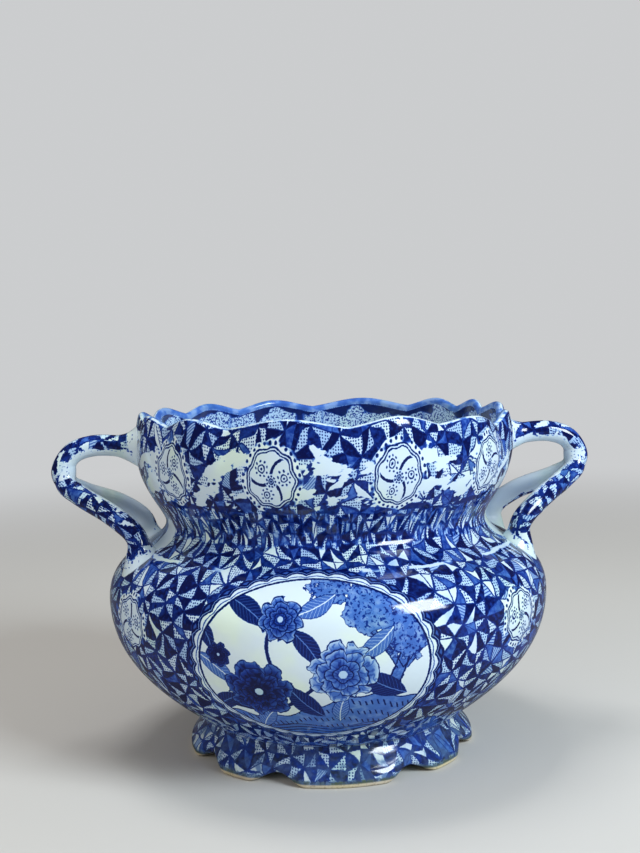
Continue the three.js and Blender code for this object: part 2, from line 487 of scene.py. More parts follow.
    def ramp(self, share: Field, stops: Sequence[tuple[float, Sequence[float]]]) -> bpy.types.NodeSocket:
        """Colours a share from 0 to 1.

        Args:
            share: What is coloured.
            stops: Places and colours of the ramp.

        Returns:
            The colour.
        """
        made = self.node("ShaderNodeValToRGB", None, {0: share})
        while len(made.color_ramp.elements) < len(stops):
            made.color_ramp.elements.new(0.5)
        for element, (position, colour) in zip(made.color_ramp.elements, stops):
            element.position = position
            element.color = (*colour, 1)
        return made.outputs[0]


def new_material(name: str) -> tuple[bpy.types.Material, Sheet]:
    """Makes an empty material.

    Args:
        name: Its name.

    Returns:
        The material, and the sheet that its nodes are drawn on.
    """
    material = bpy.data.materials.new(name)
    material.use_nodes = True
    return material, Sheet(material.node_tree)


# ---------------------------------------------------------------- the printed patterns


PAPER_INK = 0.03
LINE_INK = 0.95
OUTLINE_INK = 0.97
DIAGONAL = 0.7071


@dataclass(frozen=True)
class Blotches:
    """Patches that chance lays down: their size in millimetres, soft edge, octaves and strength."""

    size: float
    low: float
    high: float
    detail: float = 2.0
    strength: float = 1.0

    def over(self, sheet: Sheet) -> Field:
        """The patches, from 0 to their strength."""
        return sheet.noise(self.size * MM, self.detail).rise(self.low, self.high) * self.strength


@dataclass(frozen=True)
class Pen:
    """How the engraver's marks come out on the glaze. Millimetres."""

    blur: float = 0.27

    def stroke(self, distance: Field, half_width: float) -> Field:
        """Ink of a line, from the distance to its middle."""
        return abs(distance).fall(half_width - self.blur / 2, half_width + self.blur)

    def inside(self, distance: Field) -> Field:
        """1 inside a shape, from the distance to its outline, which is negative inside."""
        return distance.fall(-self.blur, self.blur)


PEN = Pen()


@dataclass(frozen=True)
class Mosaic:
    """Triangles of solid and dotted blue in a pieced ground. Millimetres."""

    columns: int
    width: float
    height: float
    stray: float = 0.5
    wander: float = 9.0
    wander_scale: float = 30.0
    seam: float = 0.42
    seam_ink: float = 0.86
    swaps: float = 0.1
    deep_tone: float = 0.84
    deep_spread: float = 0.22
    washed_tone: float = 0.56
    washed_spread: float = 0.12
    washed_share: float = 0.24
    mottle_size: float = 2.4
    mottle: float = 0.75
    dot_pitch: float = 1.5
    dot_looseness: float = 0.32
    dot_radius: float = 0.26
    dot_ink: float = 0.88
    hatch_count: float = 0.62
    hatch_ink: float = 0.6
    hatched_from: float = 0.93
    plain_share: float = 0.2

    def ink(self, sheet: Sheet, at: Spot) -> Field:
        """Draws the mosaic, as a stamp of its own."""
        name = f"mosaic {self.columns} by {self.height}"
        return sheet.stamp(name, lambda inner, x, y: self.drawn(inner, Spot(x, y)), at.x, at.y)

    def drawn(self, sheet: Sheet, at: Spot) -> Field:
        """Draws the mosaic.

        Args:
            sheet: The material.
            at: The place on the unrolled surface.

        Returns:
            The strength of the blue, from 0 to 1.
        """
        inputs = {"Vector": sheet.place(), "Scale": self.wander_scale, "Detail": 1.0}
        drift_x, drift_y, _ = sheet.parts(sheet.node("ShaderNodeTexNoise", None, inputs).outputs["Color"])
        x = at.x / self.width + (drift_x - 0.5) * (self.wander / self.width)
        y = at.y / self.height + (drift_y - 0.5) * (self.wander / self.height)
        x, y = self.strayed(sheet, x, y)
        column = x.of("FLOOR")
        row = y.of("FLOOR")
        right = x - column
        up = y - row
        odd = (column + row) % 2.0
        falling = right + up - 1
        rising = right - up
        across = rising.towards(falling, odd)
        side = across > 0.0
        solid = abs(side - row % 2.0)
        lot = sheet.chance(column % float(self.columns), row, side)
        first = Field(sheet, lot.outputs["Value"])
        second, third, _ = sheet.parts(lot.outputs["Color"])
        solid = abs(solid - (first < self.swaps))
        edge = (right & (1 - right)) & (up & (1 - up)) & abs(across) * DIAGONAL
        seam = PEN.stroke(edge * self.width, self.seam)
        mottle = (sheet.noise(self.mottle_size * MM, 3.0) - 0.5) * self.mottle
        washed = self.washed_tone + third * self.washed_spread
        deep = (self.deep_tone + third * self.deep_spread).towards(washed, second < self.washed_share)
        body = self.lights(sheet, first, second, third).towards(deep + mottle, solid)
        return body | seam * self.seam_ink

    def strayed(self, sheet: Sheet, x: Field, y: Field) -> tuple[Field, Field]:
        """Moves the crossings of the grid by chance, so that no two triangles are alike.

        Args:
            sheet: The material.
            x: Place across, in columns.
            y: Place up, in rows.

        Returns:
            Both places, moved.
        """
        column = x.of("FLOOR")
        row = y.of("FLOOR")
        ends = (column % float(self.columns), (column + 1) % float(self.columns))
        low, high = (
            sheet.blend(*(sheet.chance(end, level).outputs["Color"] for end in ends), x - column)
            for level in (row, row + 1)
        )
        stray_x, stray_y, _ = sheet.parts(sheet.blend(low, high, y - row))
        return x + (stray_x - 0.5) * (2 * self.stray), y + (stray_y - 0.5) * (2 * self.stray)

    def lights(self, sheet: Sheet, first: Field, second: Field, third: Field) -> Field:
        """Fills the light triangles: most are dotted, some hatched and some left plain.

        Args:
            sheet: The material.
            first: The triangle's first number drawn by lot.
            second: Its second.
            third: Its third.

        Returns:
            Their ink.
        """
        at = sheet.map_spot("print")
        inputs = {
            "Vector": sheet.vector(at.x, at.y),
            "Scale": 1 / self.dot_pitch,
            "Randomness": self.dot_looseness,
        }
        gap = sheet.out("ShaderNodeTexVoronoi", {"voronoi_dimensions": "2D"}, inputs, "Distance")
        dots = gap.fall(self.dot_radius - 0.06, self.dot_radius + 0.12) * self.dot_ink
        slope = at.x * (third - 0.5) * 2.6 + at.y
        hatch = ((slope * self.hatch_count) % 1.0).fall(0.34, 0.52) * self.hatch_ink
        marks = dots.towards(hatch, second > self.hatched_from)
        return (marks * (first > self.plain_share)) | (PAPER_INK + second * second * 0.2)


@dataclass(frozen=True)
class Roundel:
    """A round medallion with small flowers between crossing stems. Millimetres."""

    radius: float = 14.6
    lobes: int = 9
    lobe_depth: float = 0.5
    shake: float = 2.2
    flower_reach: float = 7.6
    flower_size: float = 3.4
    flower_dots: int = 9
    heart_size: float = 2.4
    stem: float = 0.72
    sector: float = math.pi / 3
    swirl: float = 0.07
    beads: int = 32
    bead_gap: float = 1.8
    bead_radius: float = 0.8
    bead_patches: Blotches = Blotches(11, 0.4, 0.5)

    def flower(self, at: Spot, size: float) -> Field:
        """Draws a little flower: a dot, a ring and a crown of dots.

        Args:
            at: The place from the flower's middle.
            size: Radius of its crown.

        Returns:
            Its ink.
        """
        reach = at.length()
        turn = (at.bearing() * (self.flower_dots / FULL_TURN)).wrapped(0.5)
        crown = Spot(reach - size, turn * (FULL_TURN * size / self.flower_dots))
        dots = PEN.inside(crown.length() - 0.5)
        return PEN.inside(reach - 0.62) | PEN.stroke(reach - size * 0.52, 0.24) | dots

    def draw(self, sheet: Sheet, at: Spot, turn: Number, under: Field) -> Field:
        """Draws the roundel over what is under it, as a stamp of its own.

        Args:
            sheet: The material.
            at: The place from the roundel's middle.
            turn: How far this roundel is turned, in radians.
            under: The ink of the ground.

        Returns:
            The ink of both.
        """
        return sheet.stamp(f"roundel {self.radius}", self.drawn, at.x, at.y, turn, under)

    def drawn(self, sheet: Sheet, x: Field, y: Field, turn: Field, under: Field) -> Field:
        """Draws the roundel on the stamp's own sheet.

        Args:
            sheet: The stamp's sheet.
            x: The place across from the roundel's middle.
            y: The place up from it.
            turn: How far this roundel is turned, in radians.
            under: The ink of the ground.

        Returns:
            The ink of both.
        """
        at = Spot(x, y)
        reach = at.length()
        bearing = at.bearing() + turn
        hand = sheet.noise(8 * MM, 1.0) - 0.5
        wave = reach + hand * self.shake - (bearing * self.lobes).of("COSINE") * self.lobe_depth
        rim = wave - self.radius
        pitch = FULL_TURN / self.beads
        bead_reach = self.radius + self.bead_gap
        bead = Spot(reach + hand * 2 - bead_reach, bearing.wrapped(pitch / 2) * bead_reach)
        bead_ink = PEN.inside(bead.length() - self.bead_radius) * LINE_INK
        bead_band = PEN.inside(abs(rim - 1.5) - 1.7) * self.bead_patches.over(sheet)
        border = PEN.stroke(rim + 0.3, 0.44) | PEN.stroke(rim + 1.8, 0.26)
        sector = (bearing + reach * self.swirl).wrapped(self.sector)
        stem_room = wave.fall(self.radius - 3.2, self.radius - 2.6)
        stem = PEN.stroke(reach * (self.sector - abs(sector)), self.stem) * stem_room
        middle = (bearing + self.flower_reach * self.swirl + hand * 0.5).wrapped(self.sector)
        petal = Spot(reach * middle.of("COSINE") - self.flower_reach, reach * middle.of("SINE"))
        outside_heart = 1 - PEN.inside(reach - self.flower_size)
        petals = (self.flower(petal, self.flower_size) | stem) * outside_heart
        inner = petals | self.flower(at, self.heart_size) | border
        beaded = under.towards(bead_ink, bead_band)
        return beaded.towards(inner * 0.94 + PAPER_INK, PEN.inside(rim))


class Leaf(Enum):
    """How a leaf of the garden picture is filled."""

    DARK = 0.93
    WASH = 0.5


@dataclass(frozen=True)
class LeafPlace:
    """One leaf of the picture: its middle, its direction, its half sizes and its fill."""

    x: float
    y: float
    degrees: float
    half_length: float
    half_width: float
    fill: Leaf = Leaf.DARK


@dataclass(frozen=True)
class BloomPlace:
    """One open flower of the picture: its middle, its radius and how dark it is."""

    x: float
    y: float
    radius: float
    tone: float


@dataclass(frozen=True)
class Garden:
    """The oval garden picture on the belly, and the frame of scallops round it. Millimetres."""

    half_width: float
    half_height: float
    scallops: int = 34
    frame_petals: Point = (2.7, 2.1)
    frame_inner: Point = (1.2, 0.9)
    frame_outer: Point = (6.3, 1.7)
    petal_rows: tuple[tuple[float, float, float, float], ...] = (
        (1.0, 3.5, 0.3, 0.0),
        (0.76, 3.0, 1.4, 0.12),
        (0.52, 2.5, 2.2, 0.24),
        (0.3, 2.0, 0.9, 0.4),
    )
    leaves: tuple[LeafPlace, ...] = (
        LeafPlace(-51, -20, 212, 13, 5.6),
        LeafPlace(-50, 2, 140, 13, 5.0, Leaf.WASH),
        LeafPlace(-5, -19, -52, 15, 6.4),
        LeafPlace(-30, -33, 236, 12, 5.2, Leaf.WASH),
        LeafPlace(-2, 15, 128, 12, 5.0),
        LeafPlace(36, -8, -30, 15, 6.6),
        LeafPlace(32, 15, 38, 12, 5.0, Leaf.WASH),
        LeafPlace(-33, 33, 148, 14, 5.6),
        LeafPlace(3, 34, 28, 12, 4.8, Leaf.WASH),
        LeafPlace(-54, 19, 118, 9, 3.8),
        LeafPlace(14, -24, -96, 11, 4.8, Leaf.WASH),
    )
    blooms: tuple[BloomPlace, ...] = (
        BloomPlace(15, 0, 18.5, 0.1),
        BloomPlace(-29, -11, 19.5, 0.5),
        BloomPlace(-15, 28, 12, 0.22),
        BloomPlace(-48, 9, 7, 0.55),
    )
    trunk_x: float = 43
    crown: tuple[tuple[float, float, float], ...] = ((48, 22, 14), (30, 34, 14), (10, 44, 11))

    def leaf(self, sheet: Sheet, at: Spot, leaf: LeafPlace, under: Field) -> Field:
        """Lays one pointed leaf with pale veins over what is drawn.

        Args:
            sheet: The material.
            at: The place in the picture.
            leaf: Where the leaf lies, and how it is filled.
            under: The ink drawn so far.

        Returns:
            The ink with the leaf.
        """
        own = at.moved(leaf.x, leaf.y)
        angle = math.radians(leaf.degrees)
        values = (math.cos(angle), math.sin(angle), leaf.half_length, leaf.half_width, leaf.fill.value)
        return sheet.stamp("leaf", self.leaf_shape, own.x, own.y, *values, under)

    def leaf_shape(self, _: Sheet, x: Field, y: Field, cosine: Field, sine: Field, *sizes: Field) -> Field:
        """Draws the leaf, counted from its middle.

        Args:
            x: The place across.
            y: The place up.
            cosine: Cosine of the leaf's direction.
            sine: Sine of it.
            *sizes: Half length, half width, fill, and the ink drawn so far.

        Returns:
            The ink with the leaf.
        """
        half_length, half_width, fill, under = sizes
        along = x * cosine + y * sine
        share = along / half_length
        side = abs(y * cosine - x * sine - share * share * 1.4)
        edge = side - (1 - share * share) * half_width
        rib = PEN.stroke(side, 0.18) * 0.55
        veins = ((along + side * 1.1) * 0.42 % 1.0).fall(0.08, 0.2) * 0.26
        ink = (fill - (rib | veins)) | PEN.stroke(edge, 0.34) * OUTLINE_INK
        return under.towards(ink, PEN.inside(edge))

    def peony(self, sheet: Sheet, at: Spot, bloom: BloomPlace, under: Field) -> Field:
        """Lays one open flower over what is drawn."""
        own = at.moved(bloom.x, bloom.y)
        return sheet.stamp("peony", self.peony_shape, own.x, own.y, bloom.radius, bloom.tone, bloom.x, under)

    def peony_shape(self, sheet: Sheet, x: Field, y: Field, radius: Field, *rest: Field) -> Field:
        """Draws the flower, counted from its middle: four rows of ruffled petals.

        Args:
            sheet: The stamp's sheet.
            x: The place across.
            y: The place up.
            radius: The flower's radius.
            *rest: How dark it is, how far it is turned, in radians, and the ink drawn so far.

        Returns:
            The ink with the flower.
        """
        tone, turn, ink = rest
        own = Spot(x, y)
        reach = own.length()
        bearing = own.bearing() + (sheet.noise(8 * MM) - 0.5) * 1.4
        for share, petals, phase, darker in self.petal_rows:
            lobe = abs((bearing * petals + (turn + phase)).of("COSINE"))
            edge = reach - (0.76 + lobe * 0.24) * (radius * share)
            vein = (bearing * (petals * 8)).of("SINE").rise(0.3, 0.95) * 0.2
            shade = (edge / radius).fall(-0.26, 0.0) * 0.36
            outline = PEN.stroke(edge + 0.3, 0.4) * OUTLINE_INK
            ink = ink.towards((tone + darker + shade + vein) | outline, PEN.inside(edge))
        return ink.towards(0.12, PEN.inside(reach - radius * 0.12))

    def picture(self, sheet: Sheet, x: Field, y: Field) -> Field:
        """Draws the garden: a bank by the water, a tree in leaf, flowering branches and open flowers.

        Args:
            sheet: The stamp's sheet.
            x: The place across from the oval's middle.
            y: The place up from it.

        Returns:
            The picture's ink.
        """
        at = Spot(x, y)
        wash = sheet.noise(5 * MM, 3.0)
        ink = self.tree(at, wash, sheet.noise(1.6 * MM, 2.0), at.x * 0 + 0.012)
        ink = self.bank(at, wash, ink)
        branch = at.y + 8 - at.x * 0.36 - (at.x * 0.075).of("SINE") * 8
        branch_room = at.x.rise(-50, -49) * at.x.fall(30, 31)
        twig = at.x + 18 + (at.y * 0.11).of("SINE") * 4
        twig_room = at.y.rise(-8, -7) * at.y.fall(30, 31)
        wood = PEN.inside(abs(branch) - 1.5) * branch_room | PEN.inside(abs(twig) - 0.9) * twig_room
        ink = ink.towards(LINE_INK, wood)
        for leaf in self.leaves:
            ink = self.leaf(sheet, at, leaf, ink)
        for bloom in self.blooms:
            ink = self.peony(sheet, at, bloom, ink)
        return ink

    def tree(self, at: Spot, wash: Field, fine: Field, under: Field) -> Field:
        """Draws a leaning trunk with two boughs under a mottled crown.

        Args:
            at: The place in the picture.
            wash: Broad noise.
            fine: Fine noise.
            under: The ink drawn so far.

        Returns:
            The ink with the tree.
        """
        off_trunk = at.x - self.trunk_x - (at.y * 0.07).of("SINE") * 4.5
        trunk = abs(off_trunk) - 3.4 + at.y * 0.05 + (fine - 0.5) * 1.4
        bough = (abs(off_trunk + (at.y - 2) * 0.9) - 1.6) & (abs(off_trunk - (at.y + 4) * 0.5) - 1.3)
        trunk_room = at.y.fall(24, 25) * at.y.rise(-27, -26)
        bough_room = at.y.rise(1, 2) * at.y.fall(26, 27)
        wood = PEN.inside(trunk) * trunk_room | PEN.inside(bough) * bough_room
        rind = (PEN.stroke(trunk + 0.4, 0.5) * trunk_room) | (PEN.stroke(bough, 0.4) * bough_room)
        ink = under.towards(0.5 + (fine - 0.5) * 0.6, wood) | rind * LINE_INK
        rough = (wash - 0.5) * 20
        first, second, third = (at.moved(x, y).length() - radius + rough for x, y, radius in self.crown)
        crown = first & second & third
        leafage = 0.42 + (wash - 0.5) * 0.55 + fine.rise(0.53, 0.6) * 0.4
        return ink.towards(leafage, PEN.inside(crown) * 0.96) | PEN.stroke(crown, 0.4) * 0.85

    def bank(self, at: Spot, wash: Field, under: Field) -> Field:
        """Draws a grassy bank with a path of tufts, and water in front of it.

        Args:
            at: The place in the picture.
            wash: Broad noise.
            under: The ink drawn so far.

        Returns:
            The ink with the bank.
        """
        slope = at.y + 22 - (at.x * 0.062).of("SINE") * 6 - at.x * 0.1 + (at.x * 0.31).of("SINE") * 1.2
        lean = at.x + at.y * 0.4
        tuft = PEN.stroke((lean * 0.3).wrapped(0.5) * 3.3, 0.46)
        rows = ((slope * 0.11 + (lean * 0.05).of("SINE")) % 1.0).fall(0.4, 0.5)
        grass = (0.42 + (wash - 0.5) * 0.34) | tuft * rows * LINE_INK
        ink = under.towards(grass, PEN.inside(slope)) | PEN.stroke(slope, 0.42) * LINE_INK
        shore = at.y + 40 + (at.x * 0.13).of("SINE") * 2.2
        waves = ((at.y * 0.3 + (at.x * 0.16).of("SINE") * 0.5) % 1.0).fall(0.24, 0.4)
        return ink.towards(0.5 + waves * 0.42, PEN.inside(shore)) | PEN.stroke(shore, 0.4) * 0.9

    def draw(self, sheet: Sheet, at: Spot, under: Field) -> Field:
        """Draws the picture and its frame over the ground.

        Args:
            sheet: The material.
            at: The place from the oval's middle.
            under: The ink of the ground.

        Returns:
            The ink of all three.
        """
        even = Spot(at.x / self.half_width, at.y / self.half_height)
        out = even.length()
        steepness = Spot(even.x / self.half_width, even.y / self.half_height).length()
        off = (out - 1) * out / (steepness | 0.001)
        turn = even.bearing() * (self.scallops / 2) + sheet.noise(40 * MM) * 2
        lobe = abs(turn.of("SINE"))
        petal_line = off - self.frame_petals[0] - lobe * self.frame_petals[1]
        inner_line = off - self.frame_inner[0] - lobe * self.frame_inner[1]
        outer = off - self.frame_outer[0] - (1 - lobe * lobe) * self.frame_outer[1]
        lens = (0.8 - petal_line) | outer
        lens_ink = 0.62 + lens.rise(-1.7, -1.2) * 0.37
        frame_ink = PEN.stroke(petal_line, 0.5) | PEN.stroke(inner_line, 0.22) * 0.75
        ink = under.towards(0.04, PEN.inside(outer)).towards(lens_ink, PEN.inside(lens))
        ink = ink.towards(PAPER_INK, PEN.inside(petal_line)) | frame_ink * LINE_INK
        picture = sheet.stamp("picture", self.picture, at.x, at.y)
        return ink.towards(picture, PEN.inside(off)) | PEN.stroke(off, 0.55) * OUTLINE_INK


# ---------------------------------------------------------------- finishes


INK_COLOURS = (
    (0.0, (0.66, 0.77, 0.84)),
    (0.12, (0.40, 0.58, 0.81)),
    (0.42, (0.060, 0.165, 0.54)),
    (0.72, (0.007, 0.034, 0.27)),
    (1.0, (0.0016, 0.0045, 0.060)),
)


@dataclass(frozen=True)
class Glaze:
    """The clear glossy glaze that lies over every print, and tints it here and there."""

    roughness: float = 0.07
    bare_roughness: float = 0.55
    refraction: float = 1.5
    ripple: float = 0.12
    ripple_depth: float = 0.9
    tint: tuple[float, float, float] = (1.2, 1.22, 0.66)
    clouds: Blotches = Blotches(24, 0.46, 0.72, strength=0.38)

    def lay(self, sheet: Sheet, colour: bpy.types.NodeSocket, dull: Number = 0.0) -> None:
        """Closes a material: colour, gloss and the faint waves of a dipped glaze.

        Args:
            sheet: The material.
            colour: The colour under the glaze.
            dull: 1 where the clay is bare.
        """
        multiply = {"operation": "MULTIPLY"}
        tinted = sheet.node("ShaderNodeVectorMath", multiply, {0: colour, 1: self.tint}).outputs[0]
        waves = sheet.noise(16 * MM, 1.0) + sheet.noise(3.4 * MM, 2.0) * 0.22
        waves = waves + dull * sheet.noise(0.8 * MM) * 0.5
        inputs = {"Strength": self.ripple, "Distance": self.ripple_depth * MM, "Height": waves}
        bump = sheet.node("ShaderNodeBump", None, inputs)
        inputs = {
            "Base Color": sheet.blend(colour, tinted, self.clouds.over(sheet)),
            "Roughness": self.roughness + sheet.noise(9 * MM, 2.0) * 0.05 + dull * self.bare_roughness,
            "IOR": self.refraction,
            "Normal": bump.outputs[0],
        }
        shader = sheet.node("ShaderNodeBsdfPrincipled", None, inputs)
        sheet.node("ShaderNodeOutputMaterial", None, {"Surface": shader.outputs[0]})


@dataclass(frozen=True)
class PotPrint:
    """The print outside the pot: mosaic, roundels and two oval pictures. Millimetres and degrees."""

    outline: "Outline"
    columns: int = 92
    row_height: float = 8.6
    neck_columns: int = 156
    neck_row_height: float = 12.5
    picture_angle: float = -8.9
    picture_half_angle: float = 27.3
    picture_low: float = 33.5
    picture_high: float = 116.8
    roundel_radius: float = 14.0
    roundel_turn: float = 0.7
    roundel_middle: float = -6.7
    roundel_offset: float = 54.5
    roundel_height: float = 88.0
    collar_roundels: int = 11
    collar_roundel_angle: float = -19.3
    collar_roundel_crowding: float = 2.6
    collar_roundel_height: float = 164.8
    tear_height: float = 163.0
    slit_low: float = 129.5
    slit_high: float = 147.0
    overlap_height: float = 148.5
    overlap: Blotches = Blotches(17, 0.46, 0.54, strength=0.9)
    gap_height: float = 119.0
    gap: Blotches = Blotches(22, 0.5, 0.56)
    bleed: Blotches = Blotches(26, 0.6, 0.74, strength=0.7)
    lip_wash: Blotches = Blotches(9, 0.4, 0.66, 3.0, 0.3)
    lip_stain: Blotches = Blotches(5, 0.5, 0.7, 2.0, 0.4)
    landing_half_angle: float = 16.9
    landing_height: float = 127.0
    landing_patch: float = 11.6

    def run(self, height: float) -> float:
        """Distance up the unrolled wall at a height of the outside."""
        return self.outline.outside_run(height * MM) / MM

    def around(self, degrees: float) -> float:
        """Distance round the unrolled wall at an angle."""
        return math.radians(degrees) * self.outline.belly_radius / MM

    def material(self) -> bpy.types.Material:
        """Makes the whole finish.

        Returns:
            The material.
        """
        material, sheet = new_material("printed_glaze")
        at = sheet.ragged(sheet.map_spot("print"))
        turn = self.around(360)
        mosaic = Mosaic(self.columns, turn / self.columns, self.row_height)
        narrow = Mosaic(self.neck_columns, turn / self.neck_columns, self.neck_row_height, wander=5.0)
        ink = self.worn(sheet, at, mosaic.ink(sheet, at), narrow.ink(sheet, at))
        ink = self.collar_medals(sheet, at, ink)
        ink = self.belly_medals(sheet, at, ink)
        low, high = self.run(self.picture_low), self.run(self.picture_high)
        oval = Spot((at.x - self.around(self.picture_angle)).wrapped(turn / 4), at.y - (low + high) / 2)
        ink = Garden(self.around(self.picture_half_angle), (high - low) / 2).draw(sheet, oval, ink)
        ink = self.rim_wash(sheet, at, self.landings(sheet, at, ink))
        Glaze().lay(sheet, sheet.ramp(ink, INK_COLOURS))
        return material

    def worn(self, sheet: Sheet, at: Spot, ink: Field, narrow: Field) -> Field:
        """Gathers the paper print in the neck, smears it above the foot and tears it on the collar.

        Args:
            sheet: The material.
            at: The place on the wall.
            ink: The mosaic's ink.
            narrow: The ink of the mosaic that is gathered into the neck.

        Returns:
            The ink of the worn print.
        """
        slit_low, slit_high = self.run(self.slit_low), self.run(self.slit_high)
        shift = (sheet.noise(14 * MM) - 0.5) * 10
        height = at.y + shift
        in_neck = height.rise(slit_low - 1, slit_low + 1) * height.fall(slit_high - 1, slit_high + 1)
        ink = ink.towards(narrow, in_neck)
        smear = sheet.noise(7 * MM, 3.0)
        slits = sheet.noise(1.0, 2.0, sheet.vector(at.x * 0.45, at.y * 0.09)).rise(0.42, 0.6)
        ink = ink.towards(0.05 + slits * 0.9, in_neck * smear.rise(0.53, 0.65) * 0.7)
        overlap = abs(at.y + shift * 0.5 - self.run(self.overlap_height)).fall(1.4, 2.6)
        ink = ink | overlap * self.overlap.over(sheet)
        gap = abs(at.y + shift * 0.6 - self.run(self.gap_height)).fall(0.9, 1.6)
        ink = ink.towards(0.04, gap * self.gap.over(sheet))
        streaks = sheet.noise(1.0, 2.0, sheet.vector(at.x * 0.1, at.y * 0.5)).rise(0.4, 0.62)
        ink = ink.towards(0.2 + streaks * 0.7, at.y.fall(4.0, 15.0) * smear.rise(0.36, 0.58) * 0.85)
        ink = ink.towards(ink * 0.6 + 0.2, self.bleed.over(sheet))
        off_collar = abs(at.y - self.run(self.tear_height)).rise(9.0, 22.0)
        slant = sheet.vector(at.x * 0.034 + at.y * 0.04, at.y * 0.085 - at.x * 0.03)
        tear = (sheet.noise(1.0, 3.5, slant, 0.62) - off_collar * 0.22).rise(0.512, 0.54)
        return ink.towards(PAPER_INK, tear)

    def collar_medals(self, sheet: Sheet, at: Spot, ink: Field) -> Field:
        """Draws the roundels round the collar, each turned its own way.

        Args:
            sheet: The material.
            at: The place on the wall.
            ink: The ink drawn so far.

        Returns:
            The ink with the roundels.
        """
        scale = self.outline.belly_radius / MM
        around = at.x / scale - math.radians(self.collar_roundel_angle)
        around = around - around.of("SINE") * math.radians(self.collar_roundel_crowding)
        pitch = FULL_TURN / self.collar_roundels
        index = (around / pitch + 0.5).of("FLOOR")
        own = (around - index * pitch) * scale
        lot = Field(sheet, sheet.chance(index % float(self.collar_roundels), 3.0).outputs["Value"])
        spot = Spot(own, at.y - self.run(self.collar_roundel_height) - (lot - 0.5) * 3)
        return Roundel().draw(sheet, spot, lot * FULL_TURN, ink)

    def belly_medals(self, sheet: Sheet, at: Spot, ink: Field) -> Field:
        """Draws the roundels at both sides of each picture.

        Args:
            sheet: The material.
            at: The place on the wall.
            ink: The ink drawn so far.

        Returns:
            The ink with the roundels.
        """
        across = (at.x - self.around(self.roundel_middle)).wrapped(self.around(90))
        spot = Spot(abs(across) - self.around(self.roundel_offset), at.y - self.run(self.roundel_height))
        return Roundel(radius=self.roundel_radius).draw(sheet, spot, self.roundel_turn, ink)

    def landings(self, sheet: Sheet, at: Spot, ink: Field) -> Field:
        """Leaves white patches where the handles' legs were luted on after the print.

        Args:
            sheet: The material.
            at: The place on the wall.
            ink: The ink drawn so far.

        Returns:
            The ink with the patches.
        """
        across = abs(abs(at.x) - self.around(90)) - self.around(self.landing_half_angle)
        spot = Spot(across, at.y - self.run(self.landing_height))
        edge = spot.length() - self.landing_patch + (sheet.noise(7 * MM, 2.0) - 0.5) * 9
        return ink.towards(PAPER_INK, edge.fall(-0.3, 0.3))

    def rim_wash(self, sheet: Sheet, at: Spot, ink: Field) -> Field:
        """Leaves a pale band along the edge, partly glaze worn thin there and partly a painted highlight, and
        washes the top of the lip blue.

        Args:
            sheet: The material.
            at: The place on the wall.
            ink: The ink drawn so far.

        Returns:
            The ink with the lip's.
        """
        over = at.y - self.outline.lip_run() / MM
        # Pale band along the lip's edge: partly worn glaze, partly a painted highlight.
        ink = ink.towards(PAPER_INK + self.lip_stain.over(sheet), over.rise(1.0, 1.7))
        return ink.towards(0.16 + self.lip_wash.over(sheet), over.rise(2.6, 3.4))


@dataclass(frozen=True)
class InsideGlaze:
    """Plain glaze inside, under a band of blue speckle below the lip. Millimetres."""

    outline: "Outline"
    band: float = 22.0
    line: float = 3.0
    speckle: Blotches = Blotches(1.05, 0.5, 0.56)
    wash: Blotches = Blotches(9, 0.35, 0.7, 3.0, 0.26)
    stain: Blotches = Blotches(30, 0.5, 0.9, strength=0.06)

    def material(self) -> bpy.types.Material:
        """Makes the finish.

        Returns:
            The material.
        """
        material, sheet = new_material("inside_glaze")
        at = sheet.map_spot("print")
        depth = at.y - self.outline.lip_end_run() / MM
        edge = self.band + (sheet.noise(10 * MM, 2.0) - 0.5) * 8
        streak = sheet.noise(1.0, 2.0, sheet.vector(at.x * 0.045, 0.0)).rise(0.56, 0.66)
        band_ink = (0.1 + self.speckle.over(sheet) * 0.62) | streak * 0.9
        inside_band = (depth - edge).fall(-1.2, 0.6)
        ink = (at.x * 0 + 0.02 + self.stain.over(sheet)).towards(band_ink, inside_band)
        uneven = (sheet.noise(13 * MM, 2.0) - 0.5) * 20
        dark_line = depth.rise(0.5, 1.2) * (depth - uneven).fall(self.line, self.line + 1.4)
        ink = ink | dark_line * LINE_INK
        ink = ink.towards(0.3 + self.wash.over(sheet), depth.fall(0.3, 1.0) * at.y.rise(0.0, 1.0))
        Glaze().lay(sheet, sheet.ramp(ink, INK_COLOURS))
        return material


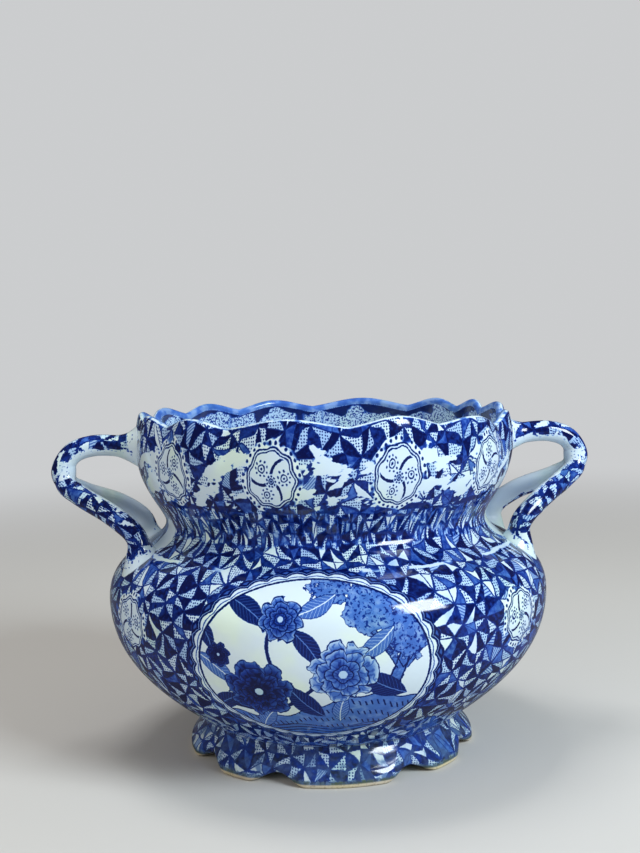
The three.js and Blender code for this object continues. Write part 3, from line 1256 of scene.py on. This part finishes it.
@dataclass(frozen=True)
class FootPrint:
    """Print on the foot ring, over a bare edge where it stands. Millimetres."""

    radius: float
    columns: int = 64
    row_height: float = 8.8
    bare_clay: tuple[float, float, float] = (0.60, 0.53, 0.41)
    # A darker copy of the bare clay: painted shade.
    shaded_clay: tuple[float, float, float] = (0.36, 0.29, 0.20)
    green: tuple[float, float, float] = (0.07, 0.1, 0.09)
    smudge_low: float = 2.3
    smudge_high: float = 5.0
    clay_shade_patches: Blotches = Blotches(1.2, 0.45, 0.8, 3.0)

    def material(self) -> bpy.types.Material:
        """Makes the finish.

        Returns:
            The material.
        """
        material, sheet = new_material("foot_glaze")
        at = sheet.ragged(sheet.map_spot("print"))
        width = FULL_TURN * self.radius / MM / self.columns
        mosaic = Mosaic(self.columns, width, self.row_height, wander=3.0)
        smear = sheet.noise(6 * MM, 3.0)
        fine = sheet.noise(1.8 * MM, 3.0)
        ink = mosaic.ink(sheet, at) * (0.7 + smear * 0.45)
        ink = ink.towards(0.2 + smear * 0.5, smear.rise(0.52, 0.68) * 0.6)
        _, _, height = sheet.parts(sheet.place())
        height = height / MM
        smudge = (height + smear * 3 + (fine - 0.5) * 5).fall(self.smudge_high, self.smudge_high + 1.6)
        ink = ink.towards(0.25 + fine.rise(0.42, 0.6) * 0.6, smudge * 0.8)
        ink = ink.towards(0.05, at.y.fall(-0.5, 0.5))
        veil = smudge * (0.3 + smear * 0.5) + smear.rise(0.4, 0.66) * 0.3 + 0.1
        colour = sheet.blend(sheet.ramp(ink, INK_COLOURS), self.green, veil)
        bare = height.fall(self.smudge_low - 0.6, self.smudge_low + 0.5)
        # The bare clay is darkened towards its shaded copy in chance patches: painted shade.
        clay = sheet.blend(self.bare_clay, self.shaded_clay, self.clay_shade_patches.over(sheet))
        Glaze().lay(sheet, sheet.blend(colour, clay, bare), bare)
        return material


@dataclass(frozen=True)
class HandlePrint:
    """Scraps of the print laid along the handles, with the rest left white. Millimetres."""

    name: str
    bend_run: float
    gap: float
    pitch: float = 8.0
    far: int = 400
    root_gap: float = 3.4
    stain: Blotches = Blotches(12, 0.5, 0.9, strength=0.08)

    def material(self) -> bpy.types.Material:
        """Makes the finish.

        Returns:
            The material.
        """
        material, sheet = new_material(self.name)
        at = sheet.map_spot("print")
        place = sheet.map_spot("place")
        mosaic = Mosaic(self.far, self.pitch, self.pitch, wander=2.0)
        ink = mosaic.ink(sheet, sheet.ragged(Spot(at.y + self.far, at.x)))
        ragged = (sheet.noise(11 * MM, 1.5) - 0.5) * 1.1
        outward = place.x + ragged
        from_bend = abs(at.x - self.bend_run) + (sheet.noise(6 * MM) - 0.5) * 6
        clear_of_bend = from_bend.rise(self.gap / 2, self.gap / 2 + 0.6) | outward.rise(0.5, 0.56)
        clear_of_root = (place.y + ragged * 6).rise(self.root_gap, self.root_gap + 1)
        shown = outward.rise(-0.34, -0.26) * clear_of_bend * clear_of_root
        inputs = {"Vector": sheet.vector(at.x, at.y), "Scale": 0.42, "Randomness": 0.9}
        spots = sheet.out("ShaderNodeTexVoronoi", {"voronoi_dimensions": "2D"}, inputs, "Distance")
        scatter = spots.fall(0.14, 0.24) * outward.rise(-0.6, -0.3) * (place.y > 1.5)
        ink = (scatter * 0.7 * (1 - shown) | (0.02 + self.stain.over(sheet))).towards(ink, shown)
        Glaze().lay(sheet, sheet.ramp(ink, INK_COLOURS))
        return material


# ---------------------------------------------------------------- the pot


@dataclass(frozen=True)
class Outline:
    """The pot's wall in half section, and the scallops of its rim. Metres and degrees."""

    wall: float = 0.005
    base_height: float = 0.0195
    floor_height: float = 0.0265
    floor_corner: float = 0.006
    base_radius: float = 0.074
    belly_radius: float = 0.1259
    belly_height: float = 0.091
    neck_radius: float = 0.0925
    neck_height: float = 0.133
    collar_radius: float = 0.108
    collar_height: float = 0.172
    rim_radius: float = 0.1055
    rim_height: float = 0.1882
    bowl_rise: float = 36
    bowl_reach: float = 0.033
    belly_drop: float = 0.033
    shoulder_round: float = 0.028
    neck_below: float = 0.014
    neck_above: float = 0.006
    collar_below: float = 0.019
    collar_above: float = 0.007
    valleys: tuple[float, ...] = (-58, -33, 2, 30, 60, 82, 104, 119, 142, 179, 208, 233, 256, 279)
    scallop_depth: float = 0.0048
    scallop_bulge: float = 0.0026
    scallop_reach: float = 0.030
    sag: float = 0.0045
    sag_angle: float = 58
    sag_spread: float = 20
    steps: tuple[int, ...] = (26, 24, 18, 9)
    lip_steps: int = 8
    corner_steps: int = 5
    base_steps: int = 6

    def outside(self) -> list[Point]:
        """Draws the outer face.

        Returns:
            Its points, from the foot's joint up to the lip.
        """
        rise = math.radians(self.bowl_rise)
        base = (self.base_radius, self.base_height)
        reach = (base[0] + self.bowl_reach * math.cos(rise), base[1] + self.bowl_reach * math.sin(rise))
        belly = (self.belly_radius, self.belly_height)
        neck = (self.neck_radius, self.neck_height)
        collar = (self.collar_radius, self.collar_height)
        rim = (self.rim_radius, self.rim_height)
        bowl, shoulder, throat, top = self.steps
        return [
            base,
            *cubic(base, reach, raised(belly, -self.belly_drop), belly, bowl),
            *cubic(belly, raised(belly, self.shoulder_round), raised(neck, -self.neck_below), neck, shoulder),
            *cubic(neck, raised(neck, self.neck_above), raised(collar, -self.collar_below), collar, throat),
            *quadratic(collar, raised(collar, self.collar_above), rim, top),
        ]

    def normals(self) -> np.ndarray:
        """Finds which way the outer face looks.

        Returns:
            The outward normal at each of its points.
        """
        slope = np.gradient(np.array(self.outside()), axis=0)
        slope /= np.linalg.norm(slope, axis=1, keepdims=True)
        return np.stack([slope[:, 1], -slope[:, 0]], axis=1)

    def lip(self) -> list[Point]:
        """Draws the rounded top of the wall.

        Returns:
            Its points from outside to inside, without its ends.
        """
        top = np.array(self.outside()[-1])
        out = self.normals()[-1]
        along = np.array([-out[1], out[0]])
        middle = top - out * self.wall / 2
        points = []
        for k in range(1, self.lip_steps):
            turn = math.pi * k / self.lip_steps
            point = middle + (out * math.cos(turn) + along * math.sin(turn)) * self.wall / 2
            points.append((float(point[0]), float(point[1])))
        return points

    def inside(self) -> list[Point]:
        """Draws the inner face.

        Returns:
            Its points, from the lip down to the middle of the floor.
        """
        inner = np.array(self.outside()) - self.normals() * self.wall
        walls = [(float(r), float(z)) for r, z in inner[::-1] if z > self.floor_height + self.floor_corner]
        corner = (walls[-1][0] - self.floor_corner, self.floor_height)
        low = (corner[0] + self.floor_corner * 0.5, self.floor_height)
        bend = quadratic(walls[-1], low, corner, self.corner_steps)
        return [*walls, *bend, *straight(corner, (0.0, self.floor_height), self.base_steps)]

    def section(self) -> list[Point]:
        """Draws the whole wall in half section.

        Returns:
            Its points, from the axis under the floor, round the lip, back to the axis.
        """
        outside = self.outside()
        underside = straight((0.0, self.base_height), outside[0], self.base_steps)
        return [(0.0, self.base_height), *underside, *outside[1:], *self.lip(), *self.inside()]

    def outside_run(self, height: float) -> float:
        """Length up the outer face at a height, counted from the foot's joint."""
        points = np.array(self.outside())
        return float(np.interp(height, points[:, 1], running_length(points)))

    def lip_run(self) -> float:
        """Length up the outer face at the lip."""
        return float(running_length(self.outside())[-1])

    def lip_end_run(self) -> float:
        """Length at which the lip has turned to the inner face."""
        return self.lip_run() + math.pi * self.wall / 2

    def shift(self, angle: np.ndarray, height: np.ndarray) -> tuple[np.ndarray, np.ndarray]:
        """How far the scallops and the kiln's sag move the wall.

        Args:
            angle: Angles round the pot, in radians.
            height: Heights on the section.

        Returns:
            The move of the radius, and of the height.
        """
        degrees = np.degrees(angle) % 360
        starts = np.sort(np.array(self.valleys) % 360)
        lobe = np.searchsorted(starts, degrees, side="right") - 1
        start = starts[lobe]
        end = np.where(lobe == len(starts) - 1, starts[0] + 360, np.roll(starts, -1)[lobe])
        before = degrees < starts[0]
        start = np.where(before, starts[-1] - 360, start)
        end = np.where(before, starts[0], end)
        share = np.sin(np.pi * (degrees - start) / (end - start))
        crest = (share + share * share) / 2
        fade = smoothstep(height, self.rim_height - self.scallop_reach, self.rim_height)
        away = (degrees - self.sag_angle + 180) % 360 - 180
        sag = self.sag * np.exp(-((away / self.sag_spread) ** 2))
        return self.scallop_bulge * (crest - 0.5) * fade, (self.scallop_depth * crest - sag) * fade


@dataclass
class Pot:
    """The bowl, shoulder, neck and scalloped collar, cast in one."""

    outline: Outline = field(default_factory=Outline)
    columns: int = 360
    crease: float = 50

    def build(self) -> bpy.types.Object:
        """Spins the wall, presses the scallops into its rim and dresses it.

        Returns:
            The piece.
        """
        section = self.outline.section()
        piece = spin_section("pot_glazed", section, self.columns)
        places = vertex_places(piece)
        angle = angle_of(places)
        radius = np.hypot(places[:, 0], places[:, 1])
        height = places[:, 2].copy()
        run = nearest_run(section, radius, height) - self.outline.base_radius
        spread, lift = self.outline.shift(angle, height)
        spread[radius < MM] = lift[radius < MM] = 0
        move_vertices(piece, at_angle(angle, radius + spread, height + lift))
        unroll(piece, angle, run, self.outline.belly_radius)
        shade_smooth(piece, self.crease)
        self.dress(piece, run)
        return piece

    def dress(self, piece: bpy.types.Object, run: np.ndarray) -> None:
        """Gives the outer face the print, and the inner face and the underside plain glaze.

        Args:
            piece: The pot.
            run: Length up the section at each vertex.
        """
        piece.data.materials.clear()
        piece.data.materials.append(PotPrint(self.outline).material())
        piece.data.materials.append(InsideGlaze(self.outline).material())
        lip_middle = (self.outline.lip_run() + self.outline.lip_end_run()) / 2
        for face in piece.data.polygons:
            middle = sum(run[v] for v in face.vertices) / len(face.vertices)
            face.material_index = 0 if 0 < middle < lip_middle else 1
        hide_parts("pot_body")


@dataclass
class Foot:
    """The lobed ring under the bowl, whose top edge reaches just into it. Metres and degrees."""

    height: float = 0.0199
    top_radius: float = 0.073
    spread: float = 0.0805
    wall: float = 0.0075
    land: float = 0.005
    edge: float = 0.0045
    pinch: float = 0.006
    wide_lobe: float = 54
    arch_height: float = 0.0055
    arch_half_angle: float = 12.5
    bulge: float = 0.0024
    columns: int = 360
    crease: float = 60
    side_steps: int = 16
    toe_steps: int = 7

    def section(self) -> list[Point]:
        """Draws the ring's section.

        Returns:
            Its points, from its top edge down the outside, and round to the start.
        """
        top = (self.top_radius, self.height)
        out = (self.spread, self.edge)
        land_out = (self.spread - (self.wall * 2 - self.land) * 0.225, 0.0)
        land_in = (land_out[0] - self.land, 0.0)
        inner = (self.top_radius - self.wall, self.edge)
        inner_top = (self.top_radius - self.wall, self.height)
        return [
            top,
            *cubic(top, raised(top, -self.pinch), raised(out, self.edge), out, self.side_steps),
            *quadratic(out, (out[0], 0.0), land_out, self.toe_steps),
            *straight(land_out, land_in, 4),
            *quadratic(land_in, (inner[0], 0.0), inner, self.toe_steps),
            *straight(inner, inner_top, 6),
            *straight(inner_top, top, 4),
        ]

    def arch(self, angle: np.ndarray) -> np.ndarray:
        """Finds where the openings between the lobes are.

        Args:
            angle: Angles round the pot, in radians.

        Returns:
            1 in the middle of an opening, and 0 along the lobes.
        """
        away = np.abs((np.degrees(angle) + 45) % 90 - 45)
        off = np.abs(away - self.wide_lobe / 2)
        return np.cos(np.pi / 2 * np.clip(off / self.arch_half_angle, 0, 1)) ** 2

    def build(self) -> bpy.types.Object:
        """Spins the ring, presses its lobes and dresses it.

        Returns:
            The piece.
        """
        section = self.section()
        piece = spin_section("foot_glazed", section, self.columns)
        places = vertex_places(piece)
        angle = angle_of(places)
        radius = np.hypot(places[:, 0], places[:, 1])
        height = places[:, 2].copy()
        outside = section[: 1 + self.side_steps + self.toe_steps]
        upward = running_length(outside)[-1] - nearest_run(section[:-1], radius, height)
        arch = self.arch(angle)
        low = 1 - height / self.height
        spread = self.bulge * (1 - 2 * arch) * low
        move_vertices(piece, at_angle(angle, radius + spread, height + self.arch_height * arch * low))
        unroll(piece, angle, upward, self.spread)
        shade_smooth(piece, self.crease)
        piece.data.materials.clear()
        piece.data.materials.append(FootPrint(self.spread).material())
        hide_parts("foot_ring")
        return piece


class Side(Enum):
    """Which side of the pot a handle is on: its turn round the axis, in degrees."""

    RIGHT = 0
    LEFT = 180


@dataclass
class Handle:
    """An upper arm that bends over and forks into two legs. Metres, but the unprinted bend in mm."""

    side: Side
    bare_bend: float
    outline: Outline = field(default_factory=Outline)
    arm_root_rise: float = 0.0032
    arm_root_radius: float = 0.0094
    arm_radius: float = 0.0062
    crown_out: float = 0.025
    crown_rise: float = 0.0046
    bend_out: float = 0.0428
    bend_drop: float = 0.010
    bend_round: float = 0.003
    fork_out: float = 0.032
    fork_drop: float = 0.0226
    fork_spread: float = 0.009
    elbow_out: float = 0.0105
    elbow_rise: float = 0.0052
    elbow_spread: float = 0.0265
    landing_inset: float = 0.019
    landing_spread: float = 0.0325
    leg_overlap: float = 0.0023
    leg_radius: float = 0.006
    leg_root_radius: float = 0.0076
    root_depth: float = 0.008
    root_flare: float = 0.012
    fillet: float = 0.006
    fillet_reach: float = 0.0026
    embed: float = 0.0014
    hub_share: float = 1.12
    hub_height: float = 0.154
    grain: float = 0.0009
    polish: int = 9
    samples: int = 90

    def arm(self) -> list[Vector]:
        """Sets out the upper arm's centre line.

        Returns:
            Its knots: inside the wall, root, crown, shoulder, bend and end.
        """
        collar, height = self.outline.collar_radius, self.outline.collar_height
        bend = Vector((collar + self.bend_out, 0, height - self.bend_drop))
        crown = Vector((collar + self.crown_out, 0, height + self.crown_rise))
        root = Vector((collar, 0, height + self.arm_root_rise))
        shoulder = (crown + bend) / 2 + Vector((self.bend_round, 0, self.bend_round))
        end = bend + Vector((-self.leg_overlap, 0, -self.leg_overlap * 2.74))
        return [root - Vector((self.root_depth, 0, 0)), root, crown, shoulder, bend, end]

    def leg(self, hand: int) -> list[Vector]:
        """Sets out one leg's centre line.

        Args:
            hand: 1 for the leg towards +Y, -1 for the other.

        Returns:
            Its knots, from inside the arm's end down into the shoulder of the pot.
        """
        bend = self.arm()[-2]
        start = self.arm()[-1]
        belly = self.outline.belly_radius
        collar, height = self.outline.collar_radius, self.outline.collar_height
        landing_x = belly - self.landing_inset
        ground = self.shoulder_height(math.hypot(landing_x, self.landing_spread))
        fork = Vector((collar + self.fork_out, hand * self.fork_spread, height - self.fork_drop))
        neck = self.outline.neck_height
        elbow = Vector((collar + self.elbow_out, hand * self.elbow_spread, neck + self.elbow_rise))
        landing = Vector((landing_x, hand * self.landing_spread, (elbow.z + ground) / 2))
        foot = Vector((landing_x, hand * self.landing_spread, ground - self.root_depth))
        top = Vector((start.x, 0, bend.z + self.leg_overlap))
        return [top, start + Vector((0, hand * self.leg_overlap, 0)), fork, elbow, landing, foot]

    def shoulder_height(self, radius: float) -> float:
        """Finds the pot's shoulder.

        Args:
            radius: Distance from the pot's axis.

        Returns:
            The shoulder's height there.
        """
        low, high = self.outline.belly_height, self.outline.neck_height
        points = np.array([p for p in self.outline.outside() if low <= p[1] <= high])[::-1]
        return float(np.interp(radius, points[:, 0], points[:, 1]))

    def smooth_path(self, knots: Sequence[Vector]) -> list[Vector]:
        """Draws a centripetal Catmull-Rom curve.

        Args:
            knots: The points that it passes.

        Returns:
            Its points.
        """
        first = knots[0] * 2 - knots[1]
        last = knots[-1] * 2 - knots[-2]
        padded = [first, *knots, last]
        path = []
        for p0, p1, p2, p3 in zip(padded, padded[1:], padded[2:], padded[3:]):
            t1 = math.sqrt((p1 - p0).length)
            t2 = t1 + math.sqrt((p2 - p1).length)
            t3 = t2 + math.sqrt((p3 - p2).length)
            steps = max(4, round(self.samples * (p2 - p1).length / 0.15))
            for k in range(steps):
                t = t1 + (t2 - t1) * k / steps
                a1 = p0.lerp(p1, t / t1)
                a2 = p1.lerp(p2, (t - t1) / (t2 - t1))
                a3 = p2.lerp(p3, (t - t2) / (t3 - t2))
                b1 = a1.lerp(a2, t / t2)
                b2 = a2.lerp(a3, (t - t1) / (t3 - t1))
                path.append(b1.lerp(b2, (t - t1) / (t2 - t1)))
        return [*path, knots[-1]]

    def bar(self, path: Sequence[Vector], thickness: Sequence[float]) -> bpy.types.Object:
        """Makes a round bar.

        Args:
            path: Its centre line.
            thickness: Its radius at each point.

        Returns:
            The bar, as a mesh.
        """
        curve = bpy.data.curves.new("bar", "CURVE")
        curve.dimensions = "3D"
        curve.bevel_depth = 1.0
        curve.bevel_resolution = 6
        curve.use_fill_caps = True
        spline = curve.splines.new("POLY")
        spline.points.add(len(path) - 1)
        for point, place, radius in zip(spline.points, path, thickness):
            point.co = (*place, 1)
            point.radius = radius
        piece = bpy.data.objects.new("bar", curve)
        bpy.context.collection.objects.link(piece)
        activate(piece)
        bpy.ops.object.convert(target="MESH")
        return bpy.context.object

    def build(self) -> bpy.types.Object:
        """Joins the arm and legs into one smooth fork, fits its roots to the pot and dresses it.

        Returns:
            The piece.
        """
        arm_path = self.smooth_path(self.arm())
        leg_paths = [self.smooth_path(self.leg(hand)) for hand in (1, -1)]
        bars = [self.bar(arm_path, self.arm_thickness(arm_path))]
        bars += [self.bar(path, self.leg_thickness(path)) for path in leg_paths]
        activate(*bars)
        bpy.ops.object.join()
        piece = bpy.context.object
        piece.name = f"{self.side.name.lower()}_handle_glazed"
        piece.data.name = piece.name
        finish_with(piece, "REMESH", mode="VOXEL", voxel_size=self.grain)
        finish_with(piece, "SMOOTH", factor=0.5, iterations=self.polish)
        turn = Matrix.Rotation(math.radians(self.side.value), 4, "Z")
        piece.data.transform(turn)
        paths = [[turn @ p for p in path] for path in (arm_path, *leg_paths)]
        self.seat(piece, paths)
        shade_smooth(piece, 180)
        self.dress(piece, arm_path)
        return piece

    def flared(self, left: np.ndarray, root: float, slim: float) -> list[float]:
        """A bar's radius at lengths left to its end: a root, then slim."""
        share = smoothstep(left, self.root_depth, self.root_depth + self.root_flare)
        return list(root + (slim - root) * share)

    def arm_thickness(self, path: Sequence[Vector]) -> list[float]:
        """The arm's radius along its path: wide at the collar, slim from there on."""
        return self.flared(running_length(path), self.arm_root_radius, self.arm_radius)

    def leg_thickness(self, path: Sequence[Vector]) -> list[float]:
        """A leg's radius along its path: slim, and wide again at its landing."""
        run = running_length(path)
        return self.flared(run[-1] - run, self.leg_root_radius, self.leg_radius)

    def off_wall(self, places: np.ndarray) -> tuple[np.ndarray, np.ndarray]:
        """Finds the pot's outer face.

        Args:
            places: Places near it.

        Returns:
            How far each place lies off the face, and which way the face looks there.
        """
        angle = angle_of(places)
        spread, lift = self.outline.shift(angle, places[:, 2])
        points = np.array(self.outline.outside())
        spot = np.stack([np.hypot(places[:, 0], places[:, 1]) - spread, places[:, 2] - lift], axis=1)
        start, step = points[:-1], np.diff(points, axis=0)
        share = np.einsum("ijk,jk->ij", spot[:, None] - start, step) / np.einsum("jk,jk->j", step, step)
        foot = start + np.clip(share, 0, 1)[..., None] * step
        gap = spot[:, None] - foot
        nearest = np.argmin(np.einsum("ijk,ijk->ij", gap, gap), axis=1)
        out = np.stack([step[:, 1], -step[:, 0]], axis=1) / np.linalg.norm(step, axis=1, keepdims=True)
        out = out[nearest]
        off = np.einsum("ij,ij->i", gap[np.arange(len(spot)), nearest], out)
        facing = np.stack([out[:, 0] * np.sin(angle), -out[:, 0] * np.cos(angle), out[:, 1]], axis=1)
        return off, facing

    def seat(self, piece: bpy.types.Object, paths: Sequence[Sequence[Vector]]) -> None:
        """Ends the bars just inside the pot's wall, flares them into it and maps the surface.

        Args:
            piece: The joined handle.
            paths: The centre lines of the arm and of both legs, in place.
        """
        places = vertex_places(piece)
        off, facing = self.off_wall(places)
        places += facing * np.maximum(-self.embed - off, 0)[:, None]
        off = np.maximum(off, -self.embed)
        centre, tangent, run = self.nearest_on(paths, places)
        away = places - centre
        away -= np.einsum("ij,ij->i", away, facing)[:, None] * facing
        away /= np.linalg.norm(away, axis=1, keepdims=True) + 1e-9
        flare = np.clip(1 - np.maximum(off, 0) / self.fillet, 0, 1) ** 2 * self.fillet_reach
        places += away * flare[:, None]
        move_vertices(piece, places)
        self.map_surface(piece, places - centre, centre, tangent, run, off)

    def nearest_on(
        self, paths: Sequence[Sequence[Vector]], places: np.ndarray
    ) -> tuple[np.ndarray, np.ndarray, np.ndarray]:
        """Finds the nearest point of the centre lines.

        Args:
            paths: The centre lines of the arm and of both legs.
            places: The places.

        Returns:
            For each place that point, its direction and its distance from the arm's root.
        """
        points, directions, runs = [], [], []
        arm_length = running_length(paths[0])[-1]
        for number, path in enumerate(paths):
            line = np.array([tuple(p) for p in path])
            points.append(line)
            directions.append(np.gradient(line, axis=0))
            start = 0 if number == 0 else arm_length - self.leg_overlap * 4
            runs.append(start + running_length(line))
        points, directions, runs = np.concatenate(points), np.concatenate(directions), np.concatenate(runs)
        directions /= np.linalg.norm(directions, axis=1, keepdims=True)
        gap = np.linalg.norm(places[:, None] - points[None], axis=2)
        nearest = np.argmin(gap, axis=1)
        return points[nearest], directions[nearest], runs[nearest]

    def map_surface(
        self,
        piece: bpy.types.Object,
        away: np.ndarray,
        centre: np.ndarray,
        tangent: np.ndarray,
        *runs: np.ndarray,
    ) -> None:
        """Writes the "print" map, along and round the bar, and the "place" map, outwardness and wall gap.

        Args:
            piece: The handle.
            away: Each vertex from the nearest point of the centre lines.
            centre: Those points.
            tangent: The direction of the bar there.
            *runs: The distance from the arm's root, and from the wall.
        """
        run, off = runs
        turn = math.radians(self.side.value)
        collar = self.outline.collar_radius
        hub = np.array([math.cos(turn) * collar * self.hub_share, math.sin(turn) * collar, self.hub_height])
        outward = centre - hub
        outward -= np.einsum("ij,ij->i", outward, tangent)[:, None] * tangent
        outward /= np.linalg.norm(outward, axis=1, keepdims=True)
        sideways = np.cross(tangent, outward)
        turned = np.arctan2(np.einsum("ij,ij->i", away, sideways), np.einsum("ij,ij->i", away, outward))
        corners = read_values(piece.data.loops, "vertex_index")
        write_map(piece, "print", (run / MM)[corners], (turned * self.arm_radius / MM)[corners])
        write_map(piece, "place", np.cos(turned)[corners], (off / MM)[corners])

    def dress(self, piece: bpy.types.Object, arm_path: Sequence[Vector]) -> None:
        """Gives the handle its scraps of print.

        Args:
            piece: The handle.
            arm_path: The arm's centre line.
        """
        bend = self.arm()[-2]
        run = running_length(arm_path)
        nearest = min(range(len(arm_path)), key=lambda k: (arm_path[k] - bend).length)
        piece.data.materials.clear()
        name = f"{self.side.name.lower()}_handle_glaze"
        piece.data.materials.append(HandlePrint(name, run[nearest] / MM, self.bare_bend).material())
        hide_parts(f"{self.side.name.lower()}_handle")


# ---------------------------------------------------------------- the studio


@dataclass(frozen=True)
class Lamp:
    """A square soft light, which the glaze may or may not mirror. Metres and watts."""

    name: str
    place: tuple[float, float, float]
    size: float
    power: float
    colour: tuple[float, float, float] = (1, 1, 1)
    mirrored: bool = False


@dataclass
class Studio:
    """Pale floor, plain backdrop, soft lights and the camera. Metres and degrees."""

    focus: tuple[float, float, float] = (0, 0, 0.1)
    floor_size: float = 6.0
    floor_colour: tuple[float, float, float] = (0.56, 0.55, 0.53)
    backdrop: tuple[float, float, float] = (0.60, 0.61, 0.62)
    floor_gloss: tuple[float, float, float] = (0.16, 0.155, 0.15)
    sky_light: float = 0.33
    sky_colour: tuple[float, float, float] = (1.0, 0.975, 0.935)
    sky_gloss: float = 0.07
    sky_gloss_colour: tuple[float, float, float] = (0.96, 0.98, 1)
    fade_start: float = 0.45
    fade_end: float = 1.5
    camera_distance: float = 0.650
    camera_height: float = 0.2303
    camera_pitch: float = 4.12
    camera_roll: float = 1.5
    camera_pan: float = -0.186
    pot_turn: float = 5.0
    lens: float = 63.04
    sensor: float = 36
    lamps: tuple[Lamp, ...] = (
        Lamp("window_light", (1.0, -1.0, 0.95), 0.6, 28.0, (0.84, 0.94, 1.0), True),
        Lamp("fill_light", (-1.3, -0.9, 0.8), 1.2, 7.0, (1.0, 0.93, 0.84)),
        Lamp("top_light", (-0.2, 0.1, 1.5), 0.5, 8.0),
    )

    def build(self) -> None:
        """Sets the stage, the lights and the camera."""
        self.set_floor()
        self.set_world()
        for lamp in self.lamps:
            self.hang(lamp)
        self.set_camera()

    def set_floor(self) -> None:
        """Lays the pale floor."""
        deselect()
        bpy.ops.mesh.primitive_plane_add(size=self.floor_size, location=(0, 0, 0))
        floor = bpy.context.object
        floor.name = "floor"
        material, sheet = new_material("floor_paper")
        rays = sheet.node("ShaderNodeLightPath").outputs
        colour = sheet.blend(self.floor_colour, self.floor_gloss, Field(sheet, rays["Is Glossy Ray"]))
        paper = sheet.node("ShaderNodeBsdfPrincipled", None, {"Base Color": colour, "Roughness": 0.9})
        far = sheet.node("ShaderNodeEmission", None, {"Color": (*self.backdrop, 1)})
        x, y, _ = sheet.parts(sheet.place())
        fade = Spot(x, y).length().rise(self.fade_start, self.fade_end) * Field(sheet, rays["Is Camera Ray"])
        mix = sheet.node("ShaderNodeMixShader", None, {0: fade, 1: paper.outputs[0], 2: far.outputs[0]})
        sheet.node("ShaderNodeOutputMaterial", None, {"Surface": mix.outputs[0]})
        floor.data.materials.append(material)

    def set_world(self) -> None:
        """Gives even light from all round, the pale backdrop where the camera sees it, and a dim sky where a
        gloss sees it.
        """
        world = bpy.data.worlds.new("studio")
        bpy.context.scene.world = world
        world.use_nodes = True
        sheet = Sheet(world.node_tree)
        rays = sheet.node("ShaderNodeLightPath").outputs
        shown = self.sky(sheet, self.sky_colour, self.sky_light)
        for ray, colour, strength in (
            ("Is Glossy Ray", self.sky_gloss_colour, self.sky_gloss),
            ("Is Camera Ray", self.backdrop, 1.0),
        ):
            inputs = {0: rays[ray], 1: shown, 2: self.sky(sheet, colour, strength)}
            shown = sheet.node("ShaderNodeMixShader", None, inputs).outputs[0]
        sheet.node("ShaderNodeOutputWorld", None, {"Surface": shown})

    def sky(self, sheet: Sheet, colour: tuple[float, float, float], strength: float) -> bpy.types.NodeSocket:
        """One even background of a colour and strength."""
        inputs = {"Color": (*colour, 1), "Strength": strength}
        return sheet.node("ShaderNodeBackground", None, inputs).outputs[0]

    def hang(self, lamp: Lamp) -> None:
        """Hangs one soft light, turned to the pot.

        Args:
            lamp: The light.
        """
        data = bpy.data.lights.new(lamp.name, "AREA")
        data.size = lamp.size
        data.energy = lamp.power
        data.color = lamp.colour
        hung = bpy.data.objects.new(lamp.name, data)
        hung.location = lamp.place
        hung.visible_glossy = lamp.mirrored
        hung.rotation_euler = (Vector(self.focus) - Vector(lamp.place)).to_track_quat("-Z", "Y").to_euler()
        bpy.context.collection.objects.link(hung)

    def set_camera(self) -> None:
        """Puts the camera where the photograph was taken, seen from the pot's own axes."""
        turn = Matrix.Rotation(math.radians(-self.pot_turn), 3, "Z")
        pitch, pan, roll = (math.radians(a) for a in (self.camera_pitch, self.camera_pan, self.camera_roll))
        ahead = Vector((math.sin(pan) * math.cos(pitch), math.cos(pan) * math.cos(pitch), -math.sin(pitch)))
        level = ahead.cross(Vector((0, 0, 1))).normalized()
        upward = level.cross(ahead)
        right = level * math.cos(roll) - upward * math.sin(roll)
        up = level * math.sin(roll) + upward * math.cos(roll)
        axes = Matrix([turn @ right, turn @ up, turn @ -ahead]).transposed()
        place = turn @ Vector((0, -self.camera_distance, self.camera_height))
        data = bpy.data.cameras.new("camera")
        data.sensor_fit = "HORIZONTAL"
        data.sensor_width = self.sensor
        data.lens = self.lens
        camera = bpy.data.objects.new("camera", data)
        camera.matrix_world = Matrix.Translation(place) @ axes.to_4x4()
        bpy.context.collection.objects.link(camera)
        bpy.context.scene.camera = camera


def main() -> None:
    """Builds the jardiniere and the studio, and reports each piece."""
    logging.basicConfig(level=logging.INFO)
    bpy.context.scene.view_settings.view_transform = "Standard"
    for part in (Pot(), Foot(), Handle(Side.RIGHT, 8.0), Handle(Side.LEFT, 12.5)):
        piece = part.build()
        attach(piece, "root")
        log.info("%s: %d faces", piece.name, len(piece.data.polygons))
    Studio().build()


if __name__ == "__main__":
    main()
